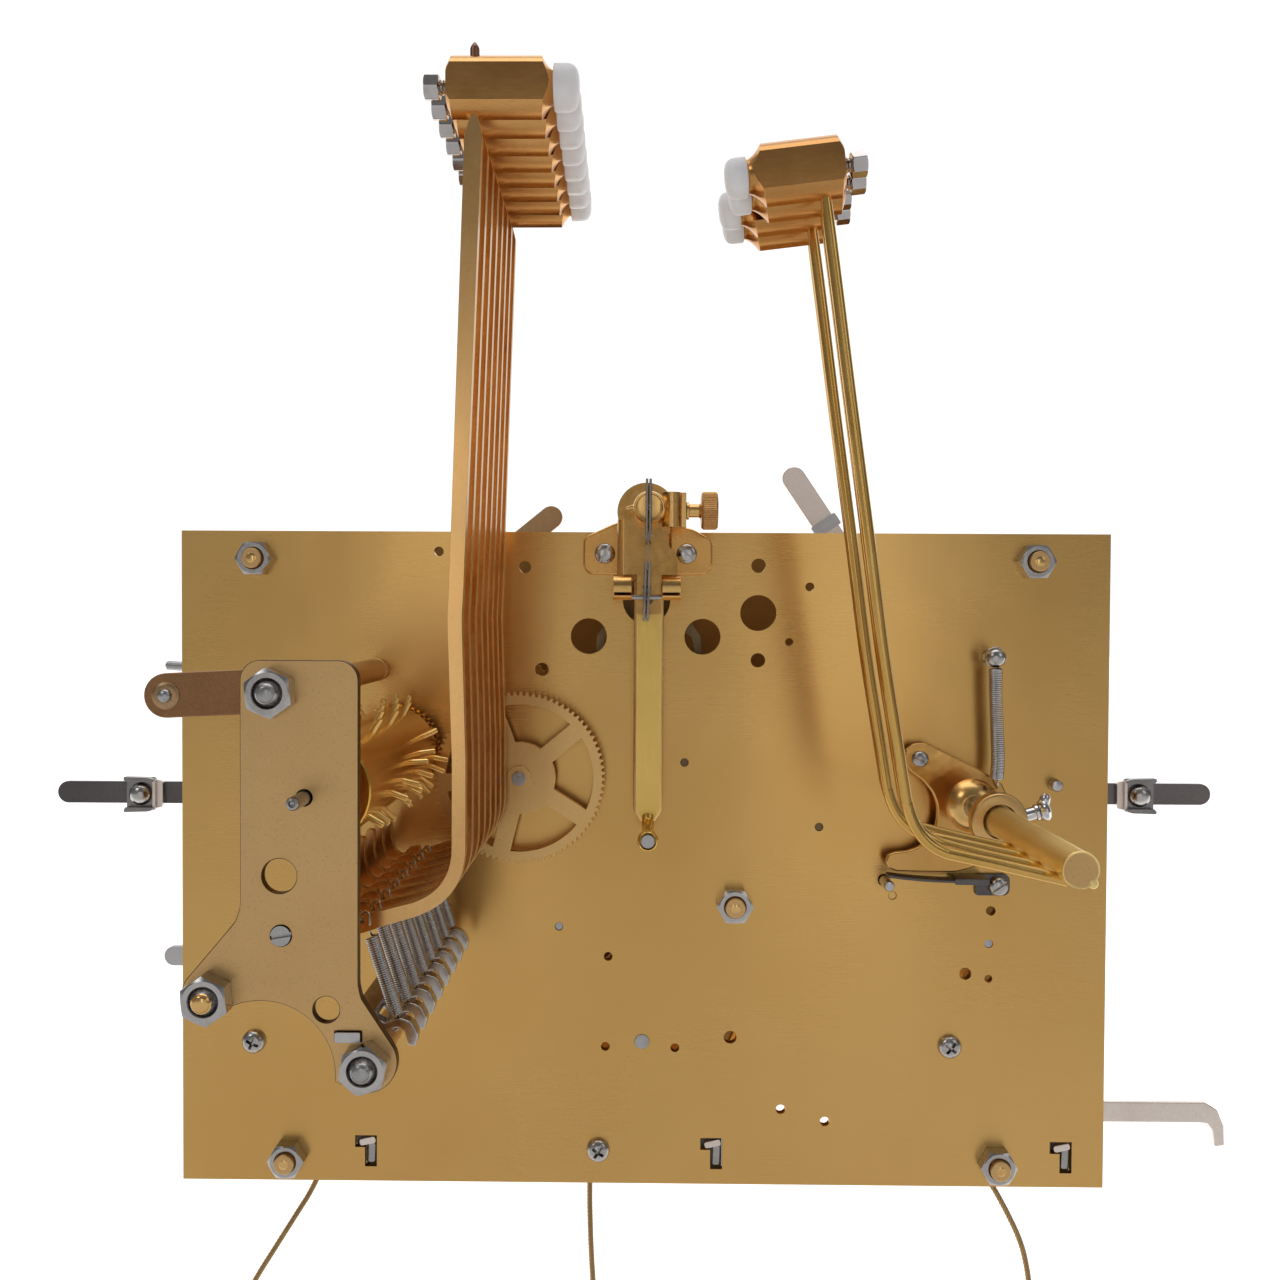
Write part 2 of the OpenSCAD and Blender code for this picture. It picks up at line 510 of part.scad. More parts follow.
// ---- chime train ----
module chime_barrel() color(brass) barrel(CB, -29.7, -29.6);
module chime_great_wheel() color(brass) great_wheel(CB, C2, 84, 12);
module chime_second_wheel() color(brass) {
  arbor(C2, 2);
  great_pinion(CB, C2, 84, 12);
  wheel(C2, 15, 17, 52, m_c, dirn(C2, CW));
}
p_cw = mate(dirn(C2, CW), 52, 59, C2, CW);
m_d = modu(CW, CD, 84, 42);
module chime_wheel() color(brass) {
  cyl_y(CW, yb - 8, yi - 0.4, 1.75, 12);
  cyl_y(CW, yi - 1, yf - 0.3, 1, 12);
  wheel(CW, 15, 17, 59, m_c, p_cw);
  // outer wheel behind the back plate
  ext_y(yb - 6, yb - 4) at(CW) difference() {
    wheel2(84, m_d, dirn(CW, CD));
    windows(5, 8.9, 18.2, 4.4, 40);
  }
  cyl_y(CW, yb - 7, yb - 0.5, 3.1, 12);
}
module chime_fly() color(brass) {
  arbor(CF, 1.5);
  pinion(CF, 14.4, 17.6, 10, m_c, mate(p_cw, 59, 10, CW, CF));
  fly_vanes(CF, 15, -15, 8, 62);
}
module chime_drum() color(brass) {
  cyl_y(CD, yk - 8.2, -yi - 0.2, 1.25, 12);
  cyl_y(CD, yk + bracket_t + 0.5, yb - 0.5, 2.4, 12);
  ext_y(yb - 84.3, yb - 8) at(CD) polygon(ngon(10.3, 48));
  ext_y(yb - 6, yb - 4) at(CD) polygon(gear_pts(42, m_d, mate(dirn(CW, CD), 84, 42, CW, CD), 0.65, 1.05));
  // rows of lifting pins
  for (k = [1 : chime_count]) for (i = [0 : 6])
    translate([CD[0], hy(k), CD[1]]) rotate([0, 51.4 * i + 37 * k, 0]) translate([0, 0, 9.9])
      cylinder(h = 4.7, r = 0.6, $fn = 6);
}

// ---- strike hammers ----
function sy(k) = yb - 80.5 + hammer_pitch * (k - 1);
rod_line = concat([[79.4, 94.1], [66, 97.1]], [for (t = [0 : 0.2 : 1]) bez([58.5, 98.7], [51.2, 100.4], [49.6, 110], t)],
  [[45.2, 136.7], [38.7, 184.2], [33.8, 220.7]]);
module strike_arbor() color(brass) {
  cyl_y(SA, -yi + 1, yf - 0.3, 1);
  cyl_y(SA, yb - 1, -yi + 8, 3);
  // domed boss at the plate, then the thin arbor, the collar and the tube
  cyl_y(SA, yb - 3, yb - 0.4, 7.6);
  translate([SA[0], yb - 3, SA[1]]) rotate([90, 0, 0]) cylinder(h = 3.2, r1 = 7.6, r2 = 6.2, $fn = 48);
  translate([SA[0], yb - 6.2, SA[1]]) rotate([90, 0, 0]) cylinder(h = 2.4, r1 = 6.2, r2 = 3.2, $fn = 48);
  cyl_y(SA, yb - 28.5, yb - 8, 2.2);
  cyl_y(SA, yb - 31, yb - 27.4, 6.5);
  cyl_y(SA, yb - 86, yb - 28, 3.5);
  // clamp screw of the collar
  bar([SA[0] + 5.8, yb - 29.2, SA[1] + 1.2], [SA[0] + 10, yb - 29.2, SA[1] + 2.4], 1.5);
  bar([SA[0] + 9.6, yb - 29.2, SA[1] + 2.3], [SA[0] + 11.6, yb - 29.2, SA[1] + 2.9], 2.6);
  // sickle-shaped lever plate with the spring hook
  ext_y(yb - 5.6, yb - 3.8) difference() {
    polygon([[64.4, 110.6], [66.6, 112.2], [70, 112.2], [84, 105.2], [88.2, 102.4], [89.6, 99.2], [88.8, 93],
      [86, 86], [82, 81.8], [77, 80.5], [69, 80.4], [62.5, 80.6], [60.5, 81.4], [59.9, 83], [60.5, 84.7], [62, 85.3],
      [64.9, 85.6], [67.4, 86.4], [69.6, 87.9], [71.4, 90.2], [72.3, 93.1], [72.4, 97], [71.2, 100.1], [68.9, 102.9],
      [65.8, 105.2], [64.3, 107.2]]);
    translate([68, 108.4]) circle(r = 1.3, $fn = 32);
  }
  // lifting piece between the plates
  ext_y(-24, -22.4) polygon([[79, 97], [83, 97.6], [92, 86], [94, 80.6], [92.4, 80], [87, 84], [79, 93]]);
}
function rod_x(k) = k % 2 == 0 ? 1.3 : 0;
module strike_hammers() for (k = [1 : strike_count]) {
  y = sy(k);
  o = rod_x(k);
  color(brass) {
    ext_y(y - rod_d / 2, y + rod_d / 2)
      ribbon([for (i = [0 : len(rod_line) - 1]) rod_line[i] + [i < 2 ? 0 : o, 0]], rod_d);
    translate([37.4 + o, y, 227.6]) rotate([0, 173.1, 0]) hammer_head(16.3);
  }
  color("#f0f0ee") translate([37.4 + o, y, 227.6]) rotate([0, 173.1, 0]) hammer_tip(16.3);
  color(steel) translate([37.4 + o, y, 227.6]) rotate([0, 173.1, 0]) hammer_screw();
}
module strike_leaf() color(grey) {
  // foot under its screw, upright block and the thin leaf
  ext_y(yb - 1.2, yb) difference() {
    polygon([[83, 73.8], [91.6, 73.8], [91.6, 79.2], [83, 79.2]]);
    translate([88.5, 76.3]) circle(r = 1.55, $fn = 32);
  }
  ext_y(yb - 7.5, yb) polygon([[76.4, 77.7], [84.9, 77.7], [84.9, 79.2], [76.4, 79.2]]);
  ext_y(yb - 7.4, yb - 2.5) polygon([[60.2, 80], [60.2, 79.3], [68, 78.5], [77, 78.1], [77, 78.8], [68, 79.2]]);
}
module strike_return_spring() color(grey) {
  bar([85.65, yb - 8, 130.2], [86.3, yb - 8, 104.2], 1.65);
  bar([85.65, yb - 8, 131.2], [85.65, yb - 8, 129.4], 0.4, 12);
}

// ---- levers ----
module strap(a, b, w, y0, y1, hole, t = 0) ext_y(y0, y1) difference() {
  union() {
    at(a) circle(r = w / 2, $fn = 40);
    at(b) circle(r = w / 2, $fn = 40);
    at(a) rotate(dirn(a, b)) translate([0, t - w / 2]) square([dist(a, b), w - 2 * t]);
  }
  for (h = hole) at(h) circle(r = 1.56, $fn = 40);
}
module clamp(p, s) {
  translate([p[0] - 4.5, yf + 0.6, p[1] - 5]) cube([9, 1.6, 10]);
  cyl_y(p, yf - 2, yf + 0.7, 3.2);
}
module left_lever() color(grey) {
  strap([-174.7, 88.6], [-95, 88.6], 6.6, yf + 2.2, yf + 3.8, [[-95, 88.6]]);
  clamp([-152, 88.4], 1);
}
module right_lever() color(grey) {
  strap([167.4, 90], [95, 90], 6.4, yf + 2.2, yf + 3.8, [[95, 90]]);
  clamp([148.6, 89.8], 1);
}
module top_left_lever() color(brass)
  strap([-28.3, 172.5], [-54, 151.6], 6.8, yf + 2.2, yf + 3.8, [[-54, 151.6]], 0.06);
module top_right_lever() color(steel) {
  strap([44.7, 184.4], [81, 130.6], 7, yf + 2.2, yf + 3.8, [[81, 130.6]]);
  translate([54.2, yf + 2.2, 170.3]) rotate([0, -34, 0]) translate([-4.2, -1.6, -1.9]) cube([8.4, 1.6, 3.8]);
}
module bottom_lever() color(steel) ext_y(-14, -12.4) difference() {
  union() {
    translate([111, 12]) circle(r = 4, $fn = 40);
    translate([111, 9.4]) square([37, 5.4]);
    polygon([[147.9, 9.4], [150, 9.2], [151.4, 7.4], [152, 3], [154.6, 3.4], [154.4, 8.6], [152.6, 12.8], [149.4, 14.8], [147.9, 14.8]]);
  }
  translate([111, 12]) circle(r = 1.56, $fn = 40);
}
module drum_shift_lever() color(satin) ext_y(yb - 86.8, yb - 85.2) difference() {
  union() {
    translate([-88, 128.3]) circle(r = 4.15, $fn = 40);
    at([-66.5, 129.4]) circle(r = 4.15, $fn = 40);
    at([-88, 128.3]) rotate(dirn([-88, 128.3], [-66.5, 129.4])) translate([0, -4.15]) square([dist([-88, 128.3], [-66.5, 129.4]), 8.3]);
  }
  at([-66.5, 129.4]) circle(r = 2.86, $fn = 40);
  translate([-88, 128.3]) circle(r = 1, $fn = 40);
}

// ---- weight cables ----
rx = barrel_r + 0.45 + cable_d / 2;
yc = -15;
route_left = [[-70 - rx, yc, 36], [-70 - rx, yc, 32], [-70 - rx, yc, 28], [-70 - rx, yc, 24], [-70 - rx, yc, 20], [-70 - rx, yc, 16],
  [-70 - rx, yc, 12], [-83.7, yc, 8], [-83.8, yc, 4], [-84.2, yc, 0], [-85.2, yc, -4], [-86.8, yc, -8], [-88.9, yc, -12],
  [-91.4, yc, -16], [-93.9, yc, -20], [-96.4, yc, -24], [-98.9, yc, -28], [-101.4, yc, -32], [-103.7, yc, -36], [-105.8, yc, -40], [-107.6, yc, -44]];
route_middle = [for (i = [0 : 20]) [-rx + 0.5 * max(0, i - 12) / 8 + (i > 12 ? 0.02 * (i - 12) * (i - 12) : 0), yc, 36 - 4 * i]];
route_right = [[70 + rx, yc, 36], [70 + rx, yc, 32], [70 + rx, yc, 28], [70 + rx, yc, 24], [70 + rx, yc, 20], [70 + rx, yc, 16],
  [70 + rx, yc, 12], [83.8, yc, 8], [84.4, yc, 4], [87.2, yc, 0], [90.5, yc, -4], [93.3, yc, -8], [95.6, yc, -12],
  [97.7, yc, -16], [99.6, yc, -20], [101.1, yc, -24], [102.1, yc, -28], [102.8, yc, -32], [103.2, yc, -36], [103.4, yc, -40], [103.5, yc, -44]];
module cable_left() color("#8a6a3c") tube(route_left, cable_d / 2);
module cable_middle() color("#8a6a3c") tube(route_middle, cable_d / 2);
module cable_right() color("#8a6a3c") tube(route_right, cable_d / 2);
module hook(p, a) translate(p) rotate([0, a, 0]) {
  translate([0, 0, -6.5]) cylinder(h = 6.48, r = 1.6, $fn = 32);
  translate([0, 0, -10.4]) rotate([90, 0, 0]) rotate_extrude($fn = 48) translate([4, 0]) circle(r = 1, $fn = 24);
}
module cable_hooks() color(steel) {
  hook(route_left[20], 24);
  hook(route_middle[20], 0);
  hook(route_right[20], 0);
}

back_plate();
front_plate();
pillars();
pillar_nuts();
phillips_screws();
slotted_screws();
latch_tabs();
plate_studs();
chime_bracket();
chime_bracket_posts();
chime_bracket_nuts();
hammer_arbor();
spring_comb();
chime_hammer_springs();
suspension_cock();
beat_screw();
suspension_spring();
anchor();
crutch();
escape_wheel();
third_wheel();
centre_wheel();
going_intermediate_wheel();
going_barrel();
going_great_wheel();
minute_wheel();
hour_wheel();
strike_barrel();
strike_great_wheel();
strike_second_wheel();
strike_third_wheel();
strike_fly();
chime_barrel();
chime_great_wheel();
chime_second_wheel();
chime_wheel();
chime_fly();
chime_drum();
chime_hammer_1();
chime_hammer_2();
chime_hammer_3();
chime_hammer_4();
chime_hammer_5();
chime_hammer_6();
chime_hammer_7();
chime_hammer_8();
strike_arbor();
strike_hammers();
strike_leaf();
strike_return_spring();
left_lever();
right_lever();
top_left_lever();
top_right_lever();
bottom_lever();
drum_shift_lever();
cable_left();
cable_middle();
cable_right();
cable_hooks();
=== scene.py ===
import json
import math
import bpy
import bmesh
from mathutils import Matrix, Vector


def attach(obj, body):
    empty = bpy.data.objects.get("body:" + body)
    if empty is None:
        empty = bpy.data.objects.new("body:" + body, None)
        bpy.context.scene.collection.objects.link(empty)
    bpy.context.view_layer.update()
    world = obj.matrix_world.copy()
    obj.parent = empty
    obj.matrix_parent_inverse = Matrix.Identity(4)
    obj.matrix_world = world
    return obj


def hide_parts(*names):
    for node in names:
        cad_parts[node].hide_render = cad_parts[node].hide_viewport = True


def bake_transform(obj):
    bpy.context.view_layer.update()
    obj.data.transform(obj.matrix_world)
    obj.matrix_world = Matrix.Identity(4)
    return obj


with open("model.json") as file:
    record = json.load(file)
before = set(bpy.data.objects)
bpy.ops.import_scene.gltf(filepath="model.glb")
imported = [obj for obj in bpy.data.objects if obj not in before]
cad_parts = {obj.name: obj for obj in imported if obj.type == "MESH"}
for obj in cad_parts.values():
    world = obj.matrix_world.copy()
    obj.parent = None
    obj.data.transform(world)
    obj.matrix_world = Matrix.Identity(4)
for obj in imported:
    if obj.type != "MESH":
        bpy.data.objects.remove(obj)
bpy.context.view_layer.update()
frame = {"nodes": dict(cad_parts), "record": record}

sc = bpy.context.scene
sc.view_settings.view_transform = "Standard"
sc.cycles.use_denoising = True

MM = 0.001
YI, YB, YF = 30.0, -32.5, 32.5
YK = YB - 92.6
CD, HP, SA, AN = (-60.9, 110.4), (-65.1, 85.4), (81.0, 97.0), (1.2, 147.0)
CW = (-30.5, 103.1)
BODY, SLOT = {}, {}
for body, nodes in frame["record"]["behaviour"]["bodies"].items():
    for node in nodes:
        BODY[node] = body
for part in frame["record"]["subparts"]:
    SLOT[part["node"]] = part["material_slot"]


# ---------------------------------------------------------------- camera
def make_camera():
    pitch, yaw, roll = (math.radians(a) for a in (1.25782, -0.62368, 0.28694))
    fwd = Vector((math.sin(yaw) * math.cos(pitch), math.cos(yaw) * math.cos(pitch), -math.sin(pitch)))
    right = Vector((math.cos(yaw), -math.sin(yaw), 0))
    up = right.cross(fwd)
    r2 = right * math.cos(roll) + up * math.sin(roll)
    u2 = up * math.cos(roll) - right * math.sin(roll)
    data = bpy.data.cameras.new("camera")
    data.sensor_width, data.lens = 36, 36 * 1306.5 / 1280
    data.clip_start, data.clip_end = 0.01, 50
    ob = bpy.data.objects.new("camera", data)
    sc.collection.objects.link(ob)
    m = Matrix((r2, u2, -fwd)).transposed().to_4x4()
    m.translation = Vector((0.6876, -359.13, 144.285)) * MM
    ob.matrix_world = m
    sc.camera = ob


make_camera()


# ---------------------------------------------------------------- materials
def new_mat(name):
    m = bpy.data.materials.new(name)
    m.use_nodes = True
    return m, m.node_tree, m.node_tree.nodes["Principled BSDF"]


def metal(name, dark, light, rough, grain, cloud=30.0, mix=0.35, aniso=0.0, turn=0.0, bump=0.25,
          depth=0.00002, edge=0.35, speck=0.0, wave=0.0):
    """Metal with drawn or brushed grain (stretch per metre and axis), slow colour change, and edges painted lighter by
    pointiness: partly edge wear, partly a painted highlight.
    """
    m, t, b = new_mat(name)
    n, link = t.nodes, t.links.new
    b.inputs["Metallic"].default_value = 1.0
    b.inputs["Anisotropic"].default_value = aniso
    b.inputs["Anisotropic Rotation"].default_value = turn
    tc = n.new("ShaderNodeTexCoord")
    mp = n.new("ShaderNodeMapping")
    mp.inputs["Scale"].default_value = grain
    link(tc.outputs["Object"], mp.inputs["Vector"])
    fine = n.new("ShaderNodeTexNoise")
    fine.inputs["Scale"].default_value = 1.0
    fine.inputs["Detail"].default_value = 3.0
    fine.inputs["Roughness"].default_value = 0.6
    link(mp.outputs["Vector"], fine.inputs["Vector"])
    slow = n.new("ShaderNodeTexNoise")
    slow.inputs["Scale"].default_value = cloud
    slow.inputs["Detail"].default_value = 3.0
    link(tc.outputs["Object"], slow.inputs["Vector"])
    both = n.new("ShaderNodeMix")
    both.data_type = "FLOAT"
    both.inputs[0].default_value = mix
    link(slow.outputs["Fac"], both.inputs[2])
    link(fine.outputs["Fac"], both.inputs[3])
    ramp = n.new("ShaderNodeValToRGB")
    ramp.color_ramp.elements[0].position = 0.32
    ramp.color_ramp.elements[0].color = (*dark, 1)
    ramp.color_ramp.elements[1].position = 0.68
    ramp.color_ramp.elements[1].color = (*light, 1)
    link(both.outputs[0], ramp.inputs["Fac"])
    last = ramp.outputs["Color"]
    if speck:
        dots = n.new("ShaderNodeTexNoise")
        dots.inputs["Scale"].default_value = 2600.0
        dots.inputs["Detail"].default_value = 2.0
        link(tc.outputs["Object"], dots.inputs["Vector"])
        dr = n.new("ShaderNodeMapRange")
        dr.inputs["From Min"].default_value = 0.58
        dr.inputs["From Max"].default_value = 0.72
        dr.inputs["To Max"].default_value = speck
        link(dots.outputs["Fac"], dr.inputs["Value"])
        dm = n.new("ShaderNodeMix")
        dm.data_type = "RGBA"
        dm.inputs[7].default_value = (dark[0] * 0.3, dark[1] * 0.28, dark[2] * 0.26, 1)
        link(dr.outputs["Result"], dm.inputs[0])
        link(last, dm.inputs[6])
        last = dm.outputs[2]
    # Lighter edges by pointiness: partly edge wear, partly a painted highlight.
    if edge:
        geo = n.new("ShaderNodeNewGeometry")
        er = n.new("ShaderNodeMapRange")
        er.inputs["From Min"].default_value = 0.53
        er.inputs["From Max"].default_value = 0.64
        er.inputs["To Max"].default_value = edge
        link(geo.outputs["Pointiness"], er.inputs["Value"])
        em = n.new("ShaderNodeMix")
        em.data_type = "RGBA"
        em.inputs[7].default_value = (min(1, light[0] * 1.12), min(1, light[1] * 1.15), min(1, light[2] * 1.25), 1)
        link(er.outputs["Result"], em.inputs[0])
        link(last, em.inputs[6])
        last = em.outputs[2]
    link(last, b.inputs["Base Color"])
    rr = n.new("ShaderNodeMapRange")
    rr.inputs["From Min"].default_value = 0.3
    rr.inputs["From Max"].default_value = 0.7
    rr.inputs["To Min"].default_value = rough[0]
    rr.inputs["To Max"].default_value = rough[1]
    link(both.outputs[0], rr.inputs["Value"])
    link(rr.outputs["Result"], b.inputs["Roughness"])
    bp = n.new("ShaderNodeBump")
    bp.inputs["Strength"].default_value = bump
    bp.inputs["Distance"].default_value = depth
    link(fine.outputs["Fac"], bp.inputs["Height"])
    if wave:
        wb = n.new("ShaderNodeBump")
        wb.inputs["Strength"].default_value = 1.0
        wb.inputs["Distance"].default_value = wave
        link(slow.outputs["Fac"], wb.inputs["Height"])
        link(wb.outputs["Normal"], bp.inputs["Normal"])
    link(bp.outputs["Normal"], b.inputs["Normal"])
    return m


PLATE = metal("plate_brass", (0.70, 0.405, 0.125), (0.80, 0.49, 0.17), (0.23, 0.31), (70, 5200, 5200), cloud=14,
              mix=0.24, aniso=0.72, turn=0.25, bump=0.1, depth=0.000012, edge=0, wave=0.0006)
SATIN = metal("satin_brass", (0.64, 0.395, 0.165), (0.75, 0.48, 0.215), (0.33, 0.43), (2600, 2600, 2600), cloud=60,
              mix=0.5, bump=0.22, depth=0.00002, edge=0, speck=0.3)
HAMMER = metal("hammer_brass", (0.68, 0.385, 0.145), (0.80, 0.485, 0.195), (0.16, 0.25), (700, 700, 240), cloud=90,
               mix=0.35, bump=0.12, depth=0.000015, edge=0, speck=0.25)
HEAD = metal("head_brass", (0.69, 0.35, 0.11), (0.79, 0.42, 0.15), (0.17, 0.25), (500, 2200, 2200), cloud=120,
             mix=0.4, bump=0.15, depth=0.000015, edge=0, speck=0.25)
ROD = metal("rod_brass", (0.68, 0.40, 0.105), (0.78, 0.485, 0.15), (0.17, 0.25), (500, 500, 200), cloud=60,
            mix=0.3, bump=0.08, depth=0.00001, edge=0.25, speck=0.15)
POLISH = metal("polished_brass", (0.76, 0.46, 0.165), (0.85, 0.54, 0.215), (0.10, 0.18), (1500, 1500, 1500), cloud=70,
               mix=0.4, bump=0.1, depth=0.00001, edge=0.4)
# Darkened brass for the cock face and the strike lever plate: the dark colour is a painted dark reflection in these
# polished faces.
SHEEN = metal("sheen_brass", (0.60, 0.325, 0.095), (0.69, 0.39, 0.13), (0.14, 0.22), (1500, 1500, 1500), cloud=70,
              mix=0.3, bump=0.05, depth=0.00001, edge=0, wave=0.0004)
# Also used on the side and bevel faces of the cock and of the strike lever plate, where it is a painted highlight.
SOFT = metal("soft_brass", (0.74, 0.445, 0.15), (0.83, 0.525, 0.20), (0.19, 0.27), (1500, 1500, 1500), cloud=70,
             mix=0.4, bump=0.1, depth=0.00001, edge=0)
FOOT = metal("foot_brass", (0.62, 0.32, 0.09), (0.72, 0.395, 0.125), (0.2, 0.3), (1500, 1500, 1500), cloud=70,
             mix=0.2, bump=0.03, depth=0.00001, edge=0)
# Dark brass for the front plate's inner faces: painted shade inside the movement.
INNER_PAINTED_SHADE = metal("inner_brass_painted_shade", (0.27, 0.145, 0.045), (0.35, 0.20, 0.068), (0.36, 0.48), (300, 2600, 2600), cloud=40,
              mix=0.3, bump=0.1, depth=0.00001, edge=0)
BRONZE = metal("dark_bronze", (0.13, 0.088, 0.046), (0.21, 0.145, 0.078), (0.26, 0.38), (1500, 1500, 1500), cloud=120,
               mix=0.4, bump=0.1, depth=0.00001, edge=0)
STRIP = metal("spring_strip", (0.26, 0.222, 0.19), (0.38, 0.328, 0.285), (0.2, 0.3), (900, 900, 200), cloud=160,
              mix=0.4, bump=0.05, depth=0.00001, edge=0)
STRIKE = metal("strike_head_brass", (0.55, 0.265, 0.08), (0.64, 0.325, 0.11), (0.17, 0.25), (500, 2200, 2200), cloud=120,
               mix=0.4, bump=0.15, depth=0.000015, edge=0, speck=0.25)
# Lighter copy of the grey sheet, used for the right lever: painted light on that lever.
SHEET_PAINTED_LIGHT = metal("grey_sheet_painted_light", (0.16, 0.142, 0.139), (0.25, 0.222, 0.216), (0.28, 0.4), (1900, 1900, 1900), cloud=90,
               mix=0.5, bump=0.12, depth=0.000015, edge=0)
# Pale, near-white brass for the strike tube's sides: a painted bright reflection.
TUBE_PAINTED_REFLECTION = metal("tube_brass_painted_reflection", (0.95, 0.70, 0.27), (0.99, 0.77, 0.34), (0.36, 0.46), (500, 500, 200), cloud=60,
             mix=0.3, bump=0.08, depth=0.00001, edge=0)
# Darker copy of the hammer brass for the arms' side faces: painted shade.
SIDE_PAINTED_SHADE = metal("hammer_side", (0.48, 0.275, 0.085), (0.58, 0.345, 0.115), (0.26, 0.36), (700, 700, 240), cloud=90,
             mix=0.35, bump=0.12, depth=0.000015, edge=0)
# Near-black brass for the chime bracket's side and bevel faces: painted shade along its outline.
EDGE_PAINTED_SHADE = metal("bracket_edge_painted_shade", (0.07, 0.038, 0.016), (0.12, 0.066, 0.028), (0.3, 0.42), (1800, 1800, 1800), cloud=90,
             mix=0.45, bump=0.1, depth=0.00001, edge=0)
# Bright yellow brass for the drum's pins: painted highlight on their ends and edges.
PIN_PAINTED_HIGHLIGHT = metal("pin_brass_painted_highlight", (0.93, 0.60, 0.19), (0.98, 0.69, 0.26), (0.16, 0.25), (1500, 1500, 1500), cloud=120,
            mix=0.4, bump=0.05, depth=0.00001, edge=0)
KNOB = metal("knob_brass", (0.50, 0.255, 0.09), (0.62, 0.335, 0.125), (0.22, 0.32), (1500, 1500, 1500), cloud=120,
             mix=0.4, bump=0.1, depth=0.00001, edge=0)
# Pale brass for the crutch strap's side and bevel faces: painted highlight along its edges.
RIM_PAINTED_HIGHLIGHT = metal("crutch_rim_painted_highlight", (0.86, 0.59, 0.22), (0.95, 0.68, 0.30), (0.34, 0.46), (1500, 1500, 1500), cloud=90,
            mix=0.4, bump=0.1, depth=0.00001, edge=0)
GREY = metal("clamp_grey", (0.22, 0.205, 0.20), (0.36, 0.34, 0.33), (0.2, 0.32), (1500, 1500, 1500), cloud=160,
             mix=0.45, bump=0.12, depth=0.000012, edge=0)
SCREW = metal("plated_screw", (0.50, 0.475, 0.465), (0.64, 0.61, 0.60), (0.07, 0.13), (900, 900, 900), cloud=220,
              mix=0.3, bump=0.04, depth=0.00001, edge=0)
POINT = metal("arm_point", (0.25, 0.12, 0.075), (0.36, 0.19, 0.125), (0.3, 0.4), (1500, 1500, 500), cloud=120,
              mix=0.4, bump=0.1, depth=0.00001, edge=0)
CRUTCH = metal("crutch_brass", (0.78, 0.505, 0.13), (0.88, 0.595, 0.175), (0.2, 0.3), (2200, 2200, 160), cloud=40,
               mix=0.4, bump=0.1, depth=0.00001, edge=0)
WHEEL = metal("wheel_brass", (0.68, 0.415, 0.155), (0.79, 0.505, 0.21), (0.26, 0.36), (1800, 1800, 1800), cloud=50,
              mix=0.45, bump=0.15, depth=0.000015, edge=0)
DRUM = metal("drum_brass", (0.84, 0.45, 0.07), (0.92, 0.53, 0.11), (0.17, 0.26), (2000, 120, 2000), cloud=60,
             mix=0.45, bump=0.12, depth=0.000012, edge=0.4)
NICKEL = metal("nickel", (0.42, 0.40, 0.385), (0.58, 0.555, 0.535), (0.16, 0.27), (1500, 1500, 1500), cloud=220,
               mix=0.45, bump=0.12, depth=0.000012, edge=0.5)
STEEL = metal("steel", (0.36, 0.35, 0.345), (0.50, 0.485, 0.475), (0.24, 0.36), (1200, 1200, 1200), cloud=150,
              mix=0.4, bump=0.1, depth=0.00001, edge=0.4)
CHROME = metal("chrome", (0.62, 0.61, 0.60), (0.76, 0.75, 0.74), (0.05, 0.11), (900, 900, 900), cloud=260,
               mix=0.4, bump=0.04, depth=0.00001, edge=0.25)
SHEET = metal("grey_sheet", (0.105, 0.097, 0.095), (0.17, 0.158, 0.155), (0.28, 0.4), (1900, 1900, 1900), cloud=90,
              mix=0.5, bump=0.12, depth=0.000015, edge=0)
# Near-black steel for the pillar thread flanks and the latch bodies: painted shade in the thread grooves and under the
# nuts; on the latch bodies partly their dark steel, partly painted shade of the slots.
DARK_PAINTED_SHADE = metal("dark_steel_painted_shade", (0.07, 0.062, 0.056), (0.13, 0.12, 0.11), (0.3, 0.42), (1900, 1900, 1900), cloud=120,
             mix=0.5, bump=0.1, depth=0.00001, edge=0.3)
WIRE = metal("spring_wire", (0.34, 0.32, 0.305), (0.49, 0.465, 0.445), (0.2, 0.3), (1500, 1500, 1500), cloud=300,
             mix=0.4, bump=0.05, depth=0.000008, edge=0.3)
TIN = metal("tinned_strap", (0.80, 0.69, 0.62), (0.93, 0.83, 0.76), (0.3, 0.42), (1600, 1600, 1600), cloud=110,
            mix=0.5, bump=0.12, depth=0.000015, edge=0)
TAN = metal("tan_brass", (0.40, 0.25, 0.13), (0.52, 0.335, 0.18), (0.3, 0.4), (2200, 2200, 2200), cloud=90,
            mix=0.5, bump=0.15, depth=0.00002, edge=0, speck=0.2)
SHIFT = metal("shift_brass", (0.27, 0.135, 0.06), (0.37, 0.195, 0.09), (0.3, 0.4), (2200, 2200, 2200), cloud=90,
              mix=0.5, bump=0.15, depth=0.00002, edge=0, speck=0.2)
CABLE = metal("cable_bronze", (0.30, 0.185, 0.075), (0.47, 0.31, 0.14), (0.3, 0.42), (1500, 1500, 1500), cloud=250,
              mix=0.5, bump=0.15, depth=0.00001, edge=0.5)


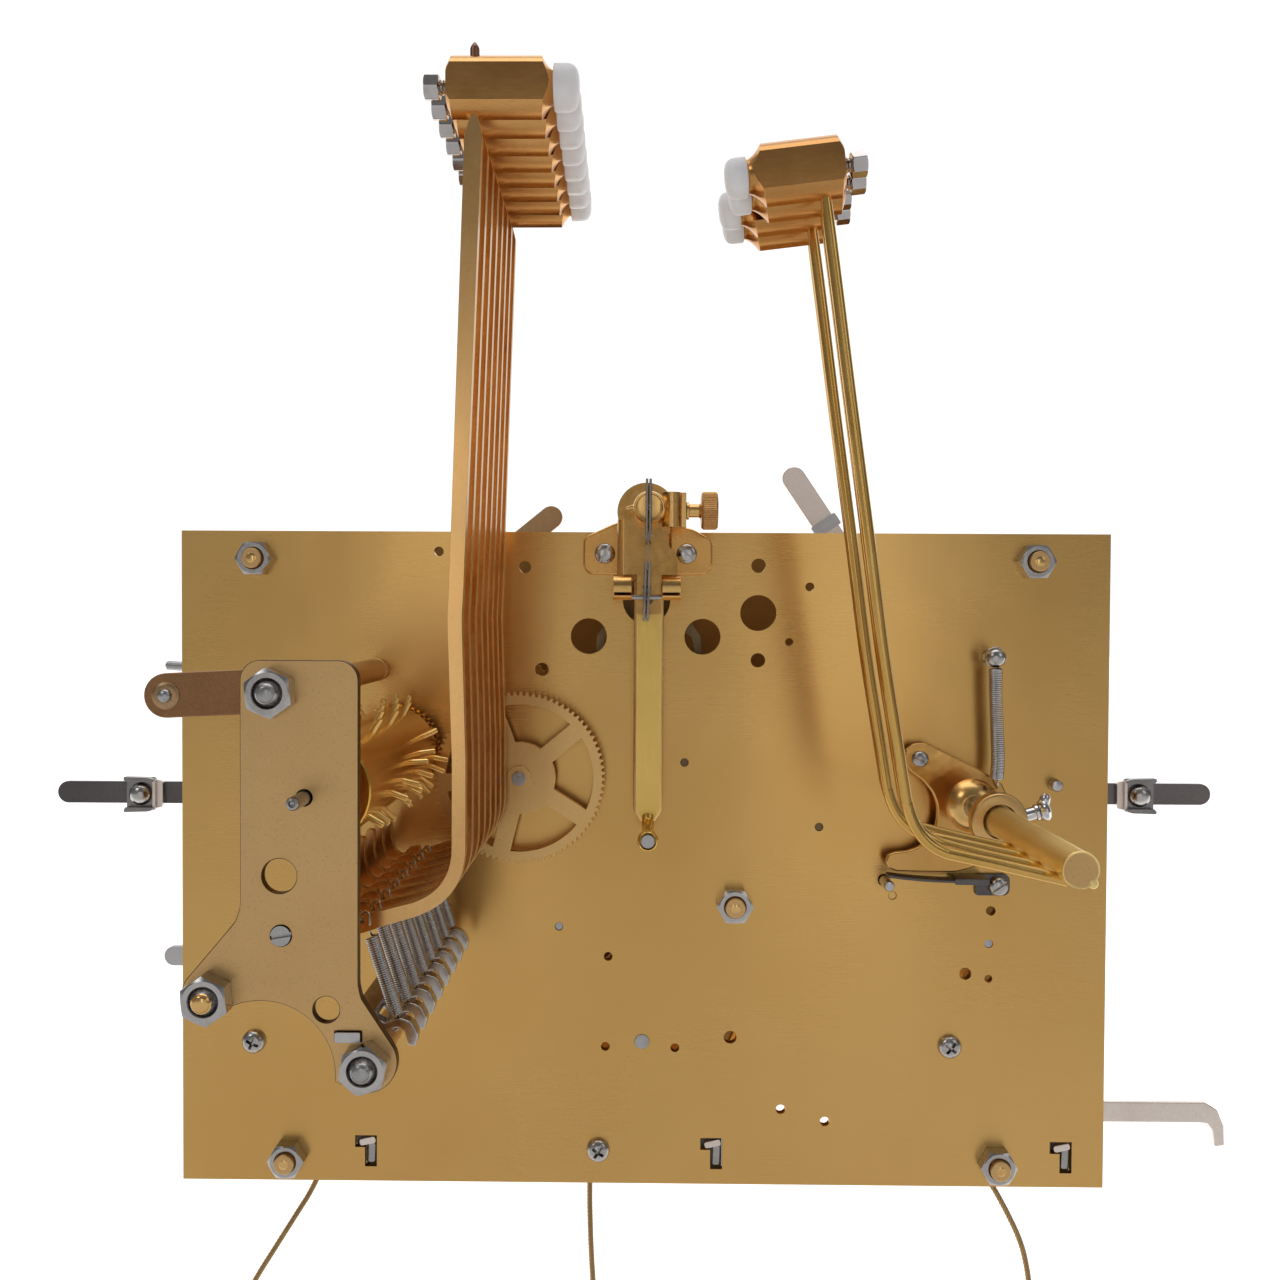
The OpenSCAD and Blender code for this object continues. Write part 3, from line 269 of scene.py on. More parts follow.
def nylon():
    m, t, b = new_mat("nylon")
    n, link = t.nodes, t.links.new
    tc = n.new("ShaderNodeTexCoord")
    slow = n.new("ShaderNodeTexNoise")
    slow.inputs["Scale"].default_value = 260
    slow.inputs["Detail"].default_value = 3
    link(tc.outputs["Object"], slow.inputs["Vector"])
    ramp = n.new("ShaderNodeValToRGB")
    ramp.color_ramp.elements[0].position = 0.3
    ramp.color_ramp.elements[0].color = (0.88, 0.85, 0.855, 1)
    ramp.color_ramp.elements[1].position = 0.7
    ramp.color_ramp.elements[1].color = (0.95, 0.925, 0.93, 1)
    link(slow.outputs["Fac"], ramp.inputs["Fac"])
    link(ramp.outputs["Color"], b.inputs["Base Color"])
    b.inputs["Subsurface Weight"].default_value = 0.75
    b.inputs["Subsurface Radius"].default_value = (1.0, 0.9, 0.9)
    b.inputs["Subsurface Scale"].default_value = 0.003
    b.inputs["IOR"].default_value = 1.5
    rr = n.new("ShaderNodeMapRange")
    rr.inputs["To Min"].default_value = 0.3
    rr.inputs["To Max"].default_value = 0.46
    link(slow.outputs["Fac"], rr.inputs["Value"])
    link(rr.outputs["Result"], b.inputs["Roughness"])
    bp = n.new("ShaderNodeBump")
    bp.inputs["Strength"].default_value = 0.15
    bp.inputs["Distance"].default_value = 0.00005
    link(slow.outputs["Fac"], bp.inputs["Height"])
    link(bp.outputs["Normal"], b.inputs["Normal"])
    return m


NYLON = nylon()


# ---------------------------------------------------------------- mesh helpers (all in mm)
def face_m(x, z, y):
    """Local x right, y up and z out of the rear face, from the point (x, y, z)."""
    return Matrix(((1, 0, 0, x), (0, 0, -1, y), (0, 1, 0, z), (0, 0, 0, 1)))


def along(p, zdir, xdir=None):
    z = Vector(zdir).normalized()
    x = Vector(xdir) if xdir else z.orthogonal()
    x = (x - z * x.dot(z)).normalized()
    y = z.cross(x)
    return Matrix(((x[0], y[0], z[0], p[0]), (x[1], y[1], z[1], p[1]), (x[2], y[2], z[2], p[2]), (0, 0, 0, 1)))


def pol(r, deg, c=(0, 0)):
    return (c[0] + r * math.cos(math.radians(deg)), c[1] + r * math.sin(math.radians(deg)))


def skin(bm, rows, mat=0, cap=True, loop=False):
    out = []
    pairs = list(zip(rows, rows[1:])) + ([(rows[-1], rows[0])] if loop else [])
    for a, b in pairs:
        k = max(len(a), len(b))
        for i in range(k):
            j = (i + 1) % k
            if len(a) == 1:
                vs = [a[0], b[i], b[j]]
            elif len(b) == 1:
                vs = [a[i], b[0], a[j]]
            else:
                vs = [a[i], b[i], b[j], a[j]]
            f = bm.faces.new(vs)
            f.material_index = mat
            out.append(f)
    if cap and not loop:
        for row in (rows[0], rows[-1]):
            if len(row) > 2:
                f = bm.faces.new(row)
                f.material_index = mat
                out.append(f)
    return out


def lathe(bm, m, prof, n=48, mat=0, cap=True, loop=False):
    rows = []
    for r, h in prof:
        if r < 1e-6:
            rows.append([bm.verts.new(m @ Vector((0, 0, h)))])
        else:
            rows.append([bm.verts.new(m @ Vector((r * math.cos(2 * math.pi * i / n), r * math.sin(2 * math.pi * i / n), h)))
                         for i in range(n)])
    return skin(bm, rows, mat, cap, loop)


def prism(bm, m, pts, w0, w1, mat=0):
    a = [bm.verts.new(m @ Vector((u, v, w0))) for u, v in pts]
    b = [bm.verts.new(m @ Vector((u, v, w1))) for u, v in pts]
    return skin(bm, [a, b], mat)


def slab(bm, pts, d0, d1, mat=0):
    """Outline in world x and z, between two distances from the rear face of the back plate."""
    return prism(bm, face_m(0, 0, YB), pts, d0, d1, mat)


def sweep(bm, path, sec, mat=0, cap=True, close=False, ref=None):
    path = [Vector(p) for p in path]
    n = len(path)
    u = Vector(ref) if ref else (path[1] - path[0]).orthogonal()
    rows = []
    for i, p in enumerate(path):
        t = (path[(i + 1) % n] - path[i - 1]) if close else (path[min(n - 1, i + 1)] - path[max(0, i - 1)])
        t.normalize()
        u = (u - t * u.dot(t)).normalized()
        v = t.cross(u)
        s = sec(i / (n - 1)) if callable(sec) else sec
        rows.append([bm.verts.new(p + u * a + v * b) for a, b in s])
    return skin(bm, rows, mat, cap, close)


def ring(r, n=12):
    return [(r * math.cos(2 * math.pi * i / n), r * math.sin(2 * math.pi * i / n)) for i in range(n)]


def fillet(pts, step=14):
    out = []
    k = len(pts)
    for i, q in enumerate(pts):
        p = Vector(q[:2])
        r = q[2] if len(q) > 2 else 0
        if r <= 0:
            out.append(tuple(p))
            continue
        a, b = Vector(pts[i - 1][:2]) - p, Vector(pts[(i + 1) % k][:2]) - p
        ang = a.angle(b)
        t = min(r / math.tan(ang / 2), a.length * 0.48, b.length * 0.48)
        rr = t * math.tan(ang / 2)
        c = p + (a.normalized() + b.normalized()).normalized() * (rr / math.sin(ang / 2))
        s, e = p + a.normalized() * t, p + b.normalized() * t
        a0 = math.atan2(s.y - c.y, s.x - c.x)
        da = (math.atan2(e.y - c.y, e.x - c.x) - a0 + math.pi) % (2 * math.pi) - math.pi
        m = max(2, int(abs(math.degrees(da)) / step) + 1)
        out += [(c.x + rr * math.cos(a0 + da * j / m), c.y + rr * math.sin(a0 + da * j / m)) for j in range(m + 1)]
    return out


def spline(pts, k=8, close=False):
    pts = [Vector(p) for p in pts]
    n = len(pts)
    out = []
    for i in range(n if close else n - 1):
        if close:
            a, b, c, d = pts[i - 1], pts[i], pts[(i + 1) % n], pts[(i + 2) % n]
        else:
            a, b, c, d = pts[max(0, i - 1)], pts[i], pts[i + 1], pts[min(n - 1, i + 2)]
        for j in range(k):
            t = j / k
            out.append(0.5 * ((2 * b) + (c - a) * t + (2 * a - 5 * b + 4 * c - d) * t * t + (3 * b - a - 3 * c + d) * t ** 3))
    if not close:
        out.append(pts[-1])
    return out


def bez(a, b, c, k):
    return [tuple(a[m] * (1 - t) ** 2 + 2 * b[m] * t * (1 - t) + c[m] * t * t for m in range(2))
            for t in (i / k for i in range(k + 1))]


def sides(line, width):
    """Left and right offset of a flat centre line; width is a function of the point."""
    pts = [Vector(p) for p in line]
    a, b = [], []
    for i, p in enumerate(pts):
        d = pts[min(len(pts) - 1, i + 1)] - pts[max(0, i - 1)]
        nrm = Vector((-d.y, d.x)).normalized()
        w = width(p) / 2
        a.append(tuple(p + nrm * w))
        b.append(tuple(p - nrm * w))
    return a, b


def rim(bm, index, limit=0.95):
    """Every face that doesn't look to the rear or the front gets this material."""
    for f in bm.faces:
        f.normal_update()
        if abs(f.normal.y) < limit:
            f.material_index = index


def bevel(bm, width, seg=2, deg=35, keep=None):
    bmesh.ops.recalc_face_normals(bm, faces=bm.faces)
    es = [e for e in bm.edges if len(e.link_faces) == 2 and e.calc_face_angle(0.0) > math.radians(deg)
          and (keep is None or keep(e))]
    if es:
        bmesh.ops.bevel(bm, geom=es, offset=width, offset_type="OFFSET", segments=seg, profile=0.5,
                        affect="EDGES", clamp_overlap=True, loop_slide=True, material=-1)


def cut(bm, cutter):
    obs = []
    for b in (bm, cutter):
        bmesh.ops.remove_doubles(b, verts=b.verts, dist=1e-4)
        bmesh.ops.recalc_face_normals(b, faces=b.faces)
        me = bpy.data.meshes.new("tmp")
        b.to_mesh(me)
        b.free()
        ob = bpy.data.objects.new("tmp", me)
        sc.collection.objects.link(ob)
        obs.append(ob)
    mod = obs[0].modifiers.new("cut", "BOOLEAN")
    mod.object, mod.operation, mod.solver = obs[1], "DIFFERENCE", "EXACT"
    me = bpy.data.meshes.new_from_object(obs[0].evaluated_get(bpy.context.evaluated_depsgraph_get()))
    out = bmesh.new()
    out.from_mesh(me)
    for ob in obs:
        old = ob.data
        bpy.data.objects.remove(ob)
        bpy.data.meshes.remove(old)
    bpy.data.meshes.remove(me)
    return out


def piece(name, bm, mats, nodes, angle=38, body=None, blend=None):
    nodes = (nodes,) if isinstance(nodes, str) else nodes
    bmesh.ops.remove_doubles(bm, verts=bm.verts, dist=2e-4)
    bmesh.ops.dissolve_degenerate(bm, edges=bm.edges, dist=1e-4)
    bmesh.ops.recalc_face_normals(bm, faces=bm.faces)
    bmesh.ops.scale(bm, vec=(MM,) * 3, verts=bm.verts)
    me = bpy.data.meshes.new(name)
    bm.to_mesh(me)
    bm.free()
    for m in mats if isinstance(mats, (list, tuple)) else [mats]:
        me.materials.append(m)
    me.polygons.foreach_set("use_smooth", [True] * len(me.polygons))
    me.set_sharp_from_angle(angle=math.radians(angle))
    ob = bpy.data.objects.new(name, me)
    sc.collection.objects.link(ob)
    mod = ob.modifiers.new("normals", "WEIGHTED_NORMAL")
    mod.keep_sharp = True
    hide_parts(*nodes)
    if blend:
        ob.modifiers.remove(mod)
        [c * MM for c in blend[2]]
        [c * MM for c in blend[3]]
        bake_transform(ob)
    else:
        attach(ob, body or BODY[nodes[0]])
    return ob


def cad_copy(node, mats, choose=None, width=0.15, seg=2, deg=35, angle=40, drop=None, name=None):
    """The node's own shape with eased edges and a material per face."""
    bm = bmesh.new()
    bm.from_mesh(frame["nodes"][node].data)
    bmesh.ops.scale(bm, vec=(1000,) * 3, verts=bm.verts)
    bmesh.ops.remove_doubles(bm, verts=bm.verts, dist=0.002)
    if drop:
        bmesh.ops.delete(bm, geom=[f for f in bm.faces if drop(f.calc_center_median())], context="FACES")
    bmesh.ops.dissolve_limit(bm, angle_limit=math.radians(0.4), use_dissolve_boundaries=False, verts=bm.verts,
                             edges=bm.edges)
    if width:
        bevel(bm, width, seg, deg)
    for f in bm.faces:
        f.material_index = choose(f.calc_center_median()) if choose else 0
    return piece(name or node + "_shape", bm, mats, node, angle)


# ---------------------------------------------------------------- weight cables (first, after the camera)
RX, YC = 13.7, -15.0
route_left = [(-83.7, YC, z) for z in (36, 32, 28, 24, 20, 16, 12)] + [
    (-83.7, YC, 8), (-83.8, YC, 4), (-84.2, YC, 0), (-85.2, YC, -4), (-86.8, YC, -8), (-88.9, YC, -12), (-91.4, YC, -16),
    (-93.9, YC, -20), (-96.4, YC, -24), (-98.9, YC, -28), (-101.4, YC, -32), (-103.7, YC, -36), (-105.8, YC, -40),
    (-107.6, YC, -44)]
route_middle = [(-RX + 0.5 * max(0, i - 12) / 8 + (0.02 * (i - 12) ** 2 if i > 12 else 0), YC, 36 - 4 * i) for i in range(21)]
route_right = [(83.7, YC, z) for z in (36, 32, 28, 24, 20, 16, 12)] + [
    (83.8, YC, 8), (84.4, YC, 4), (87.2, YC, 0), (90.5, YC, -4), (93.3, YC, -8), (95.6, YC, -12), (97.7, YC, -16), (99.6, YC, -20),
    (101.1, YC, -24), (102.1, YC, -28), (102.8, YC, -32), (103.2, YC, -36), (103.4, YC, -40), (103.5, YC, -44)]


def make_cable(side, route, tilt):
    node = "cable_" + side
    line = spline(route, 12)
    tangents, frames = [], []
    u = Vector((0, 1, 0))
    run = 0.0
    for i, p in enumerate(line):
        t = (line[min(len(line) - 1, i + 1)] - line[max(0, i - 1)]).normalized()
        u = (u - t * u.dot(t)).normalized()
        if i:
            run += (p - line[i - 1]).length
        frames.append((p, u.copy(), t.cross(u), run))
    bm = bmesh.new()
    for s in range(6):
        rows = []
        for p, a, b, r in frames:
            ph = 2 * math.pi * (s / 6 + r / 6.5)
            o = a * math.cos(ph) + b * math.sin(ph)
            q = b * math.cos(ph) - a * math.sin(ph)
            rows.append([bm.verts.new(p + o * (0.48 + 0.27 * math.cos(w)) + q * 0.27 * math.sin(w))
                         for w in (math.radians(d) for d in (-105, -52, 0, 52, 105))])
        skin(bm, rows)
    cable = piece(node + "_strands", bm, CABLE, node, angle=60)
    # crimped ferrule and end loop
    bm = bmesh.new()
    m = Matrix.Translation(route[-1]) @ Matrix.Rotation(math.radians(tilt), 4, "Y")
    lathe(bm, m, [(0.82, 0.1), (1.45, -0.1), (1.6, -0.5), (1.6, -1.7), (1.3, -2.0), (1.3, -2.5), (1.6, -2.8), (1.6, -3.9),
                  (1.3, -4.2), (1.3, -4.7), (1.6, -5.0), (1.6, -6.1), (1.35, -6.5)], 28)
    loop = [m @ Vector((4.0 * math.sin(a) * (1 - 0.12 * math.cos(a)), 0, -10.4 + 4.05 * math.cos(a)))
            for a in (2 * math.pi * i / 48 for i in range(48))]
    sweep(bm, loop, ring(0.95, 12), close=True, ref=(0, 1, 0))
    hook = piece(node + "_loop", bm, NICKEL, "cable_hooks", angle=40)
    [c * MM for c in route[0]]


make_cable("left", route_left, 24)
make_cable("middle", route_middle, 0)
make_cable("right", route_right, 0)


# ---------------------------------------------------------------- fasteners
def hex_r(theta, af):
    a = (theta + math.pi / 6) % (math.pi / 3) - math.pi / 6
    return af / 2 / math.cos(a)


def hexagon(bm, m, af, h, hole, turn=0.0, mat=0, low=0.25):
    """Hexagon with a turned chamfer at its top, and a bore with a countersink or a flat top."""
    n = 72
    rc = 0.47 * af
    th = [2 * math.pi * i / n for i in range(n)]
    ro = [hex_r(t - turn, af) for t in th]

    def row(rs, hs):
        return [bm.verts.new(m @ Vector((r * math.cos(t), r * math.sin(t), z))) for r, z, t in zip(rs, hs, th)]
    rows = []
    if hole:
        rows += [row([hole] * n, [0.0] * n), row([hole] * n, [h - 0.45] * n), row([hole + 0.34] * n, [h] * n)]
    rows += [row([rc] * n, [h] * n), row(ro, [h - (r - rc) * 0.55 for r in ro]), row(ro, [(r - rc) * low for r in ro]),
             row([rc] * n, [0.0] * n)]
    skin(bm, rows, mat, cap=not hole, loop=bool(hole))


def thread(bm, m, r, w0, w1, mat=0, flank=1, n=32):
    """Threaded end: flanks in a darker material that paints the shade of the thread grooves and of the gap under the
    nut, a turned point and a bright end face.
    """
    prof = [(0, w0), (r * 0.8, w0)]
    w = w0
    while w < w1 - 1.5:
        prof += [(r - 0.28, w + 0.08), (r, w + 0.28), (r, w + 0.38), (r - 0.28, w + 0.62)]
        w += 0.7
    prof += [(r - 0.08, w + 0.1), (r - 0.12, w1 - 1.1), (r - 0.62, w1 - 0.3)]
    lathe(bm, m, prof, n, flank, cap=False)
    lathe(bm, m, [(r - 0.62, w1 - 0.3), (r - 0.74, w1 - 0.1), (r - 0.92, w1 + 0.04), (r - 0.98, w1 - 0.02), (r - 1.06, w1 + 0.09),
                  (r - 1.35, w1 + 0.2), (r - 1.8, w1 + 0.29), (0, w1 + 0.34)], n, mat, cap=False)


pillar_pos = [(-97, 157), (97, 157), (-89.1, 6), (89.1, 6), (23, 71)]
bm = bmesh.new()
for x, z in pillar_pos:
    hexagon(bm, face_m(x, z, YB), 8, 4, 2.5, math.radians(30))
    hexagon(bm, face_m(x, z, YF) @ Matrix.Rotation(math.pi, 4, "X"), 8, 4, 2.5, math.radians(30))
piece("pillar_nut_set", bm, NICKEL, "pillar_nuts", angle=24)
bm = bmesh.new()
for x, z in pillar_pos:
    thread(bm, face_m(x, z, YB), 2.56, 3.0, 5.2)
    thread(bm, face_m(x, z, YF) @ Matrix.Rotation(math.pi, 4, "X"), 2.56, 3.0, 5.2)
piece("pillar_thread_ends", bm, [POLISH, DARK_PAINTED_SHADE], "pillars")
cad_copy("pillars", SATIN, width=0.3)
posts = [(-66.5, 129.4), (-78, 74.3), (-49.6, 62.1)]
bm = bmesh.new()
for (x, z), a in zip(posts, (6, 5, 48)):
    hexagon(bm, face_m(x, z, YK), 8, 4, 2.5, math.radians(a))
piece("bracket_nut_set", bm, NICKEL, "chime_bracket_nuts", angle=24)
bm = bmesh.new()
for i, (x, z) in enumerate(posts):
    m = face_m(x, z, YB)
    lathe(bm, m, [(2.0, -2.4), (2.0, 0), (2.5, 0.02), (2.8, 0.35), (2.8, 3.2), (2.45, 3.5), (2.45, 4.3), (2.8, 4.6), (2.8, 86.2),
                  (2.45, 86.5), (2.45, 87.3), (2.8, 87.6), (2.8, 90.2), (2.5, 90.58)], 40, 0)
    thread(bm, m, 2.5, 90.0, 97.7, 2 if i == 1 else 1, 3)
piece("bracket_post_set", bm, [SATIN, STEEL, POLISH, GREY], "chime_bracket_posts")

bm = bmesh.new()
for x, z in [(-97.9, 35.3), (77.2, 35.5), (-10.9, 8.5)]:
    m = face_m(x, z, YB)
    lathe(bm, m, [(1.5, -5), (1.5, 0), (2.85, 0.02), (2.95, 0.25), (2.9, 0.9), (2.6, 1.5), (1.95, 1.95), (1.0, 2.2), (0, 2.27)], 40)
tool = bmesh.new()
for x, z in [(-97.9, 35.3), (77.2, 35.5), (-10.9, 8.5)]:
    m = face_m(x, z, YB) @ Matrix.Rotation(math.radians(x * 3), 4, "Z")
    a, b = 1.75, 0.38
    cross = [(-a, -b), (-b, -b), (-b, -a), (b, -a), (b, -b), (a, -b), (a, b), (b, b), (b, a), (-b, a), (-b, b), (-a, b)]
    lo = [tool.verts.new(m @ Vector((u * 0.55, v * 0.55, 0.5))) for u, v in cross]
    hi = [tool.verts.new(m @ Vector((u * 1.12, v * 1.12, 2.7))) for u, v in cross]
    skin(tool, [lo, hi])
piece("cross_head_screws", cut(bm, tool), NICKEL, "phillips_screws", angle=30)

bm, tool = bmesh.new(), bmesh.new()
for x, z, d, r, h, l, a in [(-9.8, 158.6, 1.6, 2.5, 1.7, 3.6, 60), (10.5, 158.6, 1.6, 2.5, 1.7, 3.6, 140), (88.5, 76.3, 1.2, 2.4, 2.2, 3.2, 35)]:
    m = face_m(x, z, YB - d)
    lathe(bm, m, [(1.5, -l), (1.5, 0), (r - 0.15, 0.01), (r, 0.2), (r, h * 0.5), (r - 0.16, h * 0.72), (r - 0.45, h * 0.88), (r - 0.9, h * 0.97), (r - 1.5, h * 1.02), (r - 2.1, h * 1.04), (0, h * 1.045)], 48)
    prism(tool, m @ Matrix.Rotation(math.radians(a), 4, "Z"), [(-4, -0.27), (4, -0.27), (4, 0.27), (-4, 0.27)], h - 0.7, h + 2)
piece("slotted_screw_set", cut(bm, tool), NICKEL, "slotted_screws", angle=30)

# Latch tabs: the body inside the slot is in the near-black steel, partly the latch's dark steel, partly painted shade
# of the slot.
bm = bmesh.new()
for x, z in [(-69.6, 7.6), (17.6, 7.7), (105.4, 7.5)]:
    m = face_m(x, z, YB)
    prism(bm, m, [(-2.7, 1.0), (-0.2, 1.0), (-0.2, -3.9), (2.7, -3.9), (2.7, 3.9), (-2.7, 3.9)], -8.4, -1.9, 0)
    prism(bm, m, fillet([(0.35, -3.3, 0.5), (2.1, -3.3, 0.5), (2.3, 1.6, 0.3), (0.5, 1.6, 0.3)]), -3.0, -0.9, 1)
    t = m @ Matrix.Translation((0.35, 2.35, 0)) @ Matrix.Rotation(math.radians(13), 4, "Z")
    prism(bm, t, fillet([(-2.1, -0.85, 0.6), (2.1, -0.85, 0.6), (2.1, 0.85, 0.6), (-2.1, 0.85, 0.6)]), -3.0, -0.15, 2)
bevel(bm, 0.22, 2, 60)
piece("latch_tab_set", bm, [DARK_PAINTED_SHADE, STEEL, TIN], "latch_tabs", angle=45)

bm = bmesh.new()
# spring stud with its ball head, leaf pin, stop pin
lathe(bm, face_m(85.7, 133.4, YB), [(1.5, -2.5), (1.5, 5.4), (1.9, 5.7), (2.3, 6.4), (2.42, 7.4), (2.3, 8.4), (1.85, 9.1), (1.0, 9.55), (0, 9.65)], 36)
lathe(bm, face_m(60.4, 77.3, YB), [(1.3, -2.5), (1.3, 7.6), (1.1, 8.0), (0, 8.2)], 28)
lathe(bm, face_m(102.5, 101.6, YB), [(1.5, -2.5), (1.5, 2.8), (1.25, 3.2), (0, 3.45)], 28)
m = face_m(111, 12, -YI)
lathe(bm, m, [(1.5, 0), (1.5, -18), (2.6, -18.1), (2.6, -19.1), (2.2, -19.5), (0, -19.5)], 28)
for x, z in [(-95, 88.6), (95, 90), (-54, 151.6), (81, 130.6)]:
    lathe(bm, face_m(x, z, YI), [(1.5, 0), (1.5, -6.6), (3.0, -6.65), (3.2, -6.9), (3.2, -7.5), (2.7, -8.0), (0, -8.15)], 32)
lathe(bm, face_m(-13.6, 73.4, YI), [(1.5, 0), (1.5, -13.0), (1.2, -13.4), (0, -13.5)], 28)
tongue = [(-104.1, 53.65)] + [pol(2.45, a, (-119.1, 56.1)) for a in range(270, 89, -15)] + [(-110, 58.55), (-104.1, 60.0)]
prism(bm, face_m(0, 0, -YI), tongue, -1.6, 0)
sweep(bm, [Vector((-108, -YI + 1.3, 129.2)).lerp(Vector((-121.3, -YI + 1.3, 130)), t) for t in (0, 0.5, 0.9, 0.97, 1)],
      lambda t: ring(1.2 if t < 0.7 else (1.2 if t < 0.9 else 0.8), 20), 1)
piece("plate_stud_set", bm, [NICKEL, STEEL], "plate_studs")

# ---------------------------------------------------------------- plates, bracket, hammer frame
cad_copy("back_plate", PLATE, width=0.35)
# The front plate's inner faces take the dark inner brass: painted shade inside the movement.
cad_copy("front_plate", [PLATE, INNER_PAINTED_SHADE], lambda c: 1 if c.y < YI + 0.05 else 0, width=0.22)
bm = bmesh.new()
shape = fillet([(-72.5, 135.2, 3.6), (-51.1, 135.2, 3.6), (-51.1, 76.3, 7), (-50.5, 74.0, 3)] +
               [pol(5.7, a, (-49.7, 62.5)) for a in range(30, -97, -9)] +
               [pol(13.5, a, (-68.8, 60)) for a in range(-5, 130, 5)] +
               [pol(4.6, a, (-78.6, 74.6)) for a in range(-80, -225, -9)] +
               [(-77.5, 83.0), (-73.4, 87.9, 3), (-72.5, 90.5, 6), (-72.5, 100)])
prism(bm, face_m(0, 0, YK), shape, -2, 0)
tool = bmesh.new()
for x, z, r in ((CD[0], CD[1], 1.45), (-65.4, 96.2, 3.15), (HP[0], HP[1], 1.9), (-56.9, 72, 2.4), (-66.5, 129.4, 2.55), (-78, 74.3, 2.55), (-49.6, 62.1, 2.55)):
    lathe(tool, face_m(x, z, YK), [(r, -4), (r, 3)], 48)
prism(tool, face_m(0, 0, YK), [(-55.3, 66.25), (-50.5, 66.25), (-50.5, 68.15), (-55.3, 68.15)], -4, 3)
bm = cut(bm, tool)
bevel(bm, 0.38, 1, 60)
# Side and bevel faces of the bracket take the near-black brass: painted shade along its outline.
rim(bm, 1, 0.9)
piece("chime_bracket_plate", bm, [SATIN, EDGE_PAINTED_SHADE], "chime_bracket", angle=30)
cad_copy("hammer_arbor", STEEL, width=0.12)


def hy(k):
    return YB - 80.5 + 9.9 * (k - 1)


bm = bmesh.new()
strip = fillet([(-55.2, 66.3, 0.3), (-50.6, 66.3, 0.3), (-50.6, 68.1, 0.3), (-55.2, 68.1, 0.3)])
prism(bm, face_m(0, 0, YB), strip, 0, 93.5)
claw = fillet([(-51, 67.9, 0), (-51, 66.5, 0), (-49.5, 65.3, 0.6), (-48, 65.0, 0.8), (-47, 65.2, 0.6), (-45.8, 65.5, 0.8),
               (-44.7, 64.7, 0.9), (-44.0, 62.2, 0.3), (-42.7, 61.8, 0.5), (-42.0, 64.2, 1.8), (-43.2, 66.4, 1.8), (-45.4, 67.3, 1.9),
               (-47.4, 66.7, 0.9), (-48.3, 66.3, 0.5), (-49.6, 67.0, 0.5)])
for k in range(1, 9):
    b2 = bmesh.new()
    prism(b2, face_m(0, 0, hy(k)), claw, -1.6, 1.6)
    bevel(b2, 0.4, 3, 50)
    me = bpy.data.meshes.new("tmp")
    b2.to_mesh(me)
    b2.free()
    bm.from_mesh(me)
    bpy.data.meshes.remove(me)
piece("spring_comb_claws", bm, NICKEL, "spring_comb", angle=45)


def coil(a, b, r, turns, wire, n=14, sec=6):
    a, b = Vector(a), Vector(b)
    ax = (b - a).normalized()
    u = Vector((0, 1, 0))
    v = ax.cross(u)
    k = int(turns * n)
    return [a.lerp(b, i / k) + u * (r - wire) * math.cos(2 * math.pi * i / n) + v * (r - wire) * math.sin(2 * math.pi * i / n)
            for i in range(k + 1)]


for k in range(1, 9):
    y = hy(k)
    bm = bmesh.new()
    top, bot = Vector((-51.2, y, 82.3)), Vector((-46.4, y, 67.6))
    body = coil(top, bot, 1.38, 36, 0.21)
    ax = (top - bot).normalized()
    # upper hook round the arm notch, lower hook in the claw
    hook_up = [top + ax * 0.1 + Vector((0, 0.6, 0)), top + ax * 0.6 + Vector((0, 0.2, 0)), top + ax * 1.2,
               Vector((-52.0, y, 84.4)), Vector((-52.9, y, 85.6)), Vector((-53.0, y, 86.6)), Vector((-52.4, y - 0.3, 87.2)),
               Vector((-51.6, y - 0.9, 87.0)), Vector((-51.3, y - 1.45, 86.0)), Vector((-51.3, y - 1.5, 84.8))]
    hook_dn = [bot - ax * 0.1 + Vector((0, 0.6, 0)), bot - ax * 0.5 + Vector((0, 0.2, 0)), bot - ax * 1.0, Vector((-46.0, y, 65.6)),
               Vector((-46.3, y, 64.7)), Vector((-47.1, y, 64.5)), Vector((-47.5, y, 65.2))]
    sweep(bm, body, ring(0.21, 6))
    sweep(bm, spline(hook_up, 5), ring(0.21, 7))
    sweep(bm, spline(hook_dn, 5), ring(0.21, 7))
    piece("chime_spring_%d" % k, bm, WIRE, "chime_hammer_springs", angle=60,
          blend=("movement_frame", "chime_hammer_%d" % k, (-46.4, y, 67.6), (-51.6, y, 83.6)))

# ---------------------------------------------------------------- hammer heads
HEX = [(-3.5, 3.45), (-3.5, -3.45), (0, -5.95), (3.5, -3.45), (3.5, 3.45), (0, 5.95)]


